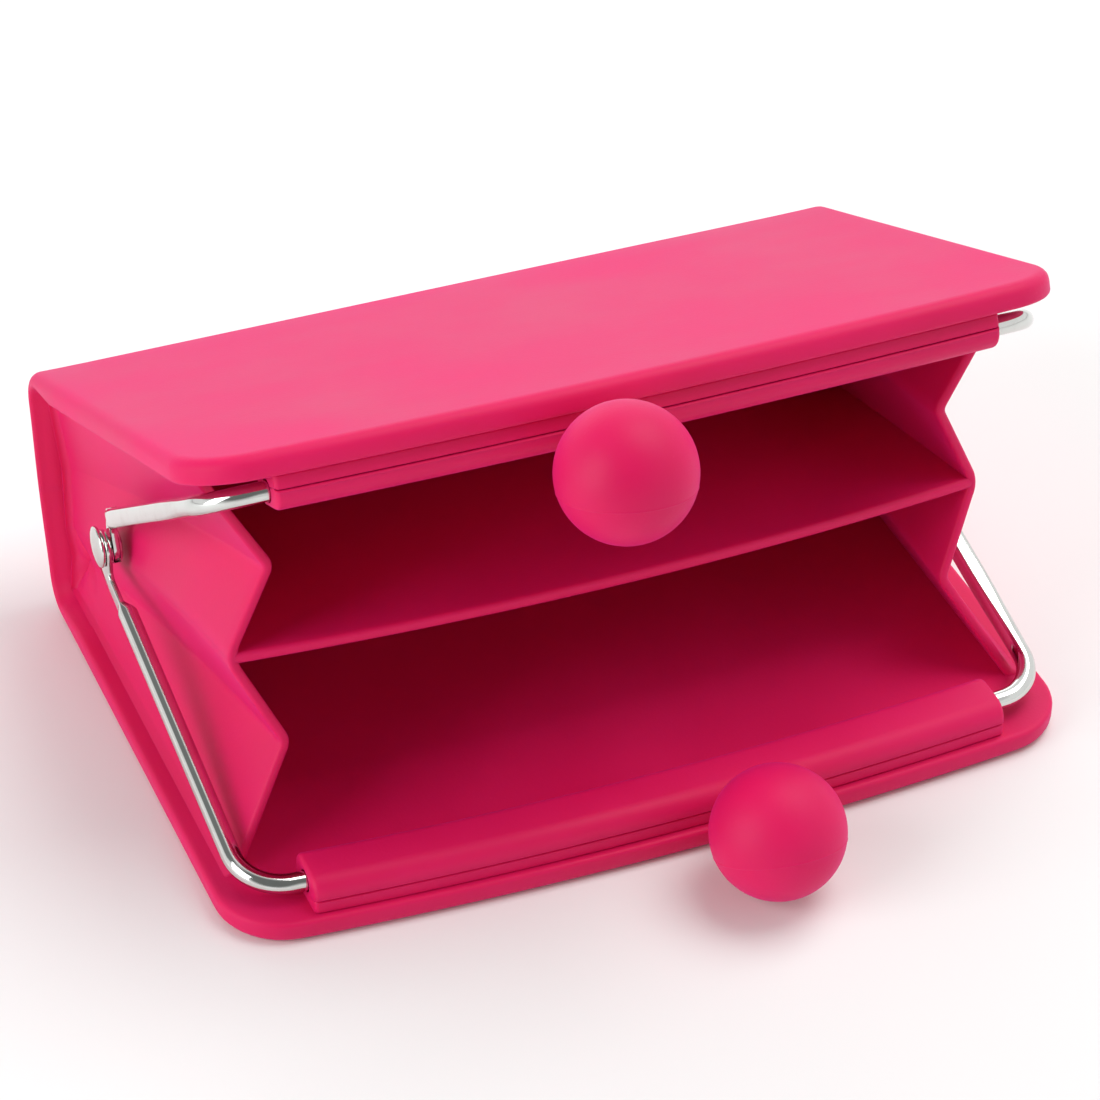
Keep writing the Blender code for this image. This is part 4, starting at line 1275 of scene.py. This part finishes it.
class WALLET_OT_clasp(Operator):
    """Makes the two ball knobs and their studs"""

    bl_idname = "wallet.clasp"
    bl_label = "Ball knobs"

    def execute(self, context):
        layout = Layout(context.scene)
        clasp, wire = layout.clasp, layout.frame
        lower_at = layout.ball_centre()
        upper_at = layout.half_turn @ lower_at
        for name, centre, pole, body in (
            ("lower_knob", lower_at, LOWER_POLE, "lower_frame"),
            ("upper_knob", upper_at, UPPER_POLE, "upper_frame"),
        ):
            work, place = ball(layout, centre, pole)
            knob = piece(name, work, bpy.data.materials["satin_silicone"], place)
            carry(knob, (body,), (name.replace("knob", "ball"),))
        foot = layout.stud_foot()
        along = (lower_at - foot).normalized()
        reach = (lower_at - foot).length
        bar, stud = wire.wire / 2, clasp.stud
        head = reach - clasp.radius / 2
        profile = [(0.0, head), (stud, head)]
        profile += [(stud * out, bar + up) for out, up in STUD_FOOT]
        profile += [(stud * STUD_FOOT[-1][0], bar / 2), (0.0, bar / 2)]
        turn = Vector((0.0, 0.0, 1.0)).rotation_difference(along).to_matrix().to_4x4()
        work = turned(profile, layout.quality.turn_steps)
        place = Matrix.Translation(foot) @ turn
        stem = piece("lower_stem", work, bpy.data.materials["polished_nickel"], place)
        carry_both(stem, "upper_stem", layout, "frame", "stud")
        return {"FINISHED"}


# Stage

CAMERA_PLACE = (-0.162531, -0.365141, 0.324524)
CAMERA_RIGHT = (0.92158501, -0.38742691, 0.02411328)
CAMERA_UP = (0.21810275, 0.56819308, 0.7934657)
CAMERA_BACK = (-0.32111096, -0.72598692, 0.6081371)
CAMERA_LENS = 135.67
# Darker parts of the studio: direction, where each sets in and is full, its brightness
DARK_SIDES = (((-0.30, -0.62, 0.72), 0.62, 0.84, 0.20), ((-0.56, 0.43, 0.71), 0.88, 0.95, 0.24))
# A darker part is a little less red and blue than green
DARK_TINT = (0.95, 1.0, 0.98)
STUDIO_BRIGHTNESS = 0.95
# Soft lights: name, place, size, power in watts, colour
LIGHTS = (
    ("key", (0.30, 0.02, 0.70), (0.50, 0.50), 2.7, (1.0, 0.99, 0.98)),
    ("fill", (-0.65, -0.12, 0.31), (0.40, 0.60), 2.75, (0.98, 0.99, 1.0)),
    ("back", (0.10, 0.75, 0.30), (0.9, 0.35), 0.9, (1.0, 1.0, 1.0)),
)
LIT_POINT = (0.0, 0.0, 0.03)


def soft_light(name, place, size, power, tint):
    data = bpy.data.lights.new(name, "AREA")
    data.shape = "RECTANGLE"
    data.size, data.size_y = size
    data.energy = power
    data.color = tint
    light = bpy.data.objects.new(name, data)
    bpy.context.scene.collection.objects.link(light)
    light.location = place
    light.rotation_mode = "QUATERNION"
    light.rotation_quaternion = (Vector(LIT_POINT) - Vector(place)).to_track_quat("-Z", "Y")


class WALLET_OT_stage(Operator):
    """Sets the floor, the light and the camera"""

    bl_idname = "wallet.stage"
    bl_label = "Stage"

    def execute(self, context):
        scene = context.scene
        work = bmesh.new()
        bmesh.ops.create_grid(work, x_segments=1, y_segments=1, size=4.0)
        piece("floor", work, floor_material("floor", scene.wallet_finish))

        camera = bpy.data.objects.new("camera", bpy.data.cameras.new("camera"))
        scene.collection.objects.link(camera)
        camera.data.sensor_width = 36.0
        camera.data.lens = CAMERA_LENS
        camera.data.clip_start = 0.01
        camera.data.clip_end = 20.0
        axes = Matrix((CAMERA_RIGHT, CAMERA_UP, CAMERA_BACK)).transposed()
        camera.rotation_mode = "QUATERNION"
        camera.rotation_quaternion = axes.to_quaternion()
        camera.location = CAMERA_PLACE
        scene.camera = camera

        world = bpy.data.worlds.new("studio")
        world.use_nodes = True
        nodes, links = world.node_tree.nodes, world.node_tree.links
        background = nodes["Background"]
        place = nodes.new("ShaderNodeTexCoord")
        light = (1.0, 1.0, 1.0)
        for direction, start, full, value in DARK_SIDES:
            facing = nodes.new("ShaderNodeVectorMath")
            facing.operation = "DOT_PRODUCT"
            facing.inputs[1].default_value = direction
            spread = dialled(nodes.new("ShaderNodeMapRange"), From_Min=start, From_Max=full)
            links.new(place.outputs["Generated"], facing.inputs[0])
            links.new(facing.outputs["Value"], spread.inputs["Value"])
            dark = [value * tint for tint in DARK_TINT]
            light = mixed(nodes, links, spread.outputs["Result"], light, dark)
        links.new(light, background.inputs["Color"])
        dialled(background, Strength=STUDIO_BRIGHTNESS)
        scene.world = world

        for light in LIGHTS:
            soft_light(*light)

        scene.view_settings.view_transform = "Standard"
        scene.view_settings.look = "None"
        scene.view_settings.exposure = 0.0
        return {"FINISHED"}


class WALLET_OT_materials(Operator):
    """Makes the silicone and nickel finishes"""

    bl_idname = "wallet.materials"
    bl_label = "Finishes"

    def execute(self, context):
        finish = context.scene.wallet_finish
        grain_group()
        speck_group()
        silicone_material("satin_silicone", finish, pale_share=0.35)
        silicone_material("satin_silicone_inside", finish, pale_share=0.20)
        nickel_material("polished_nickel", finish)
        return {"FINISHED"}


class WALLET_PT_panel(Panel):
    """Lists the steps and the sizes"""

    bl_idname = "WALLET_PT_panel"
    bl_label = "Silicone wallet"
    bl_space_type = "VIEW_3D"
    bl_region_type = "UI"
    bl_category = "Wallet"

    def draw(self, context):
        for operator in OPERATORS:
            self.layout.operator(operator.bl_idname)
        for name, group in GROUPS.items():
            box = self.layout.box()
            box.label(text=group.__doc__)
            for field in group.__annotations__:
                box.prop(getattr(context.scene, name), field)


OPERATORS = (
    WALLET_OT_materials,
    WALLET_OT_covers,
    WALLET_OT_divider,
    WALLET_OT_bellows,
    WALLET_OT_sleeves,
    WALLET_OT_bails,
    WALLET_OT_rivets,
    WALLET_OT_clasp,
    WALLET_OT_stage,
)


def register():
    for group in GROUPS.values():
        bpy.utils.register_class(group)
    for name, group in GROUPS.items():
        setattr(bpy.types.Scene, name, PointerProperty(type=group))
    for operator in OPERATORS:
        bpy.utils.register_class(operator)
    bpy.utils.register_class(WALLET_PT_panel)


def unregister():
    bpy.utils.unregister_class(WALLET_PT_panel)
    for operator in reversed(OPERATORS):
        bpy.utils.unregister_class(operator)
    for name, group in GROUPS.items():
        delattr(bpy.types.Scene, name)
        bpy.utils.unregister_class(group)


def main():
    register()
    for operator in OPERATORS:
        area, step = operator.bl_idname.split(".")
        getattr(getattr(bpy.ops, area), step)()


if __name__ == "__main__":
    main()
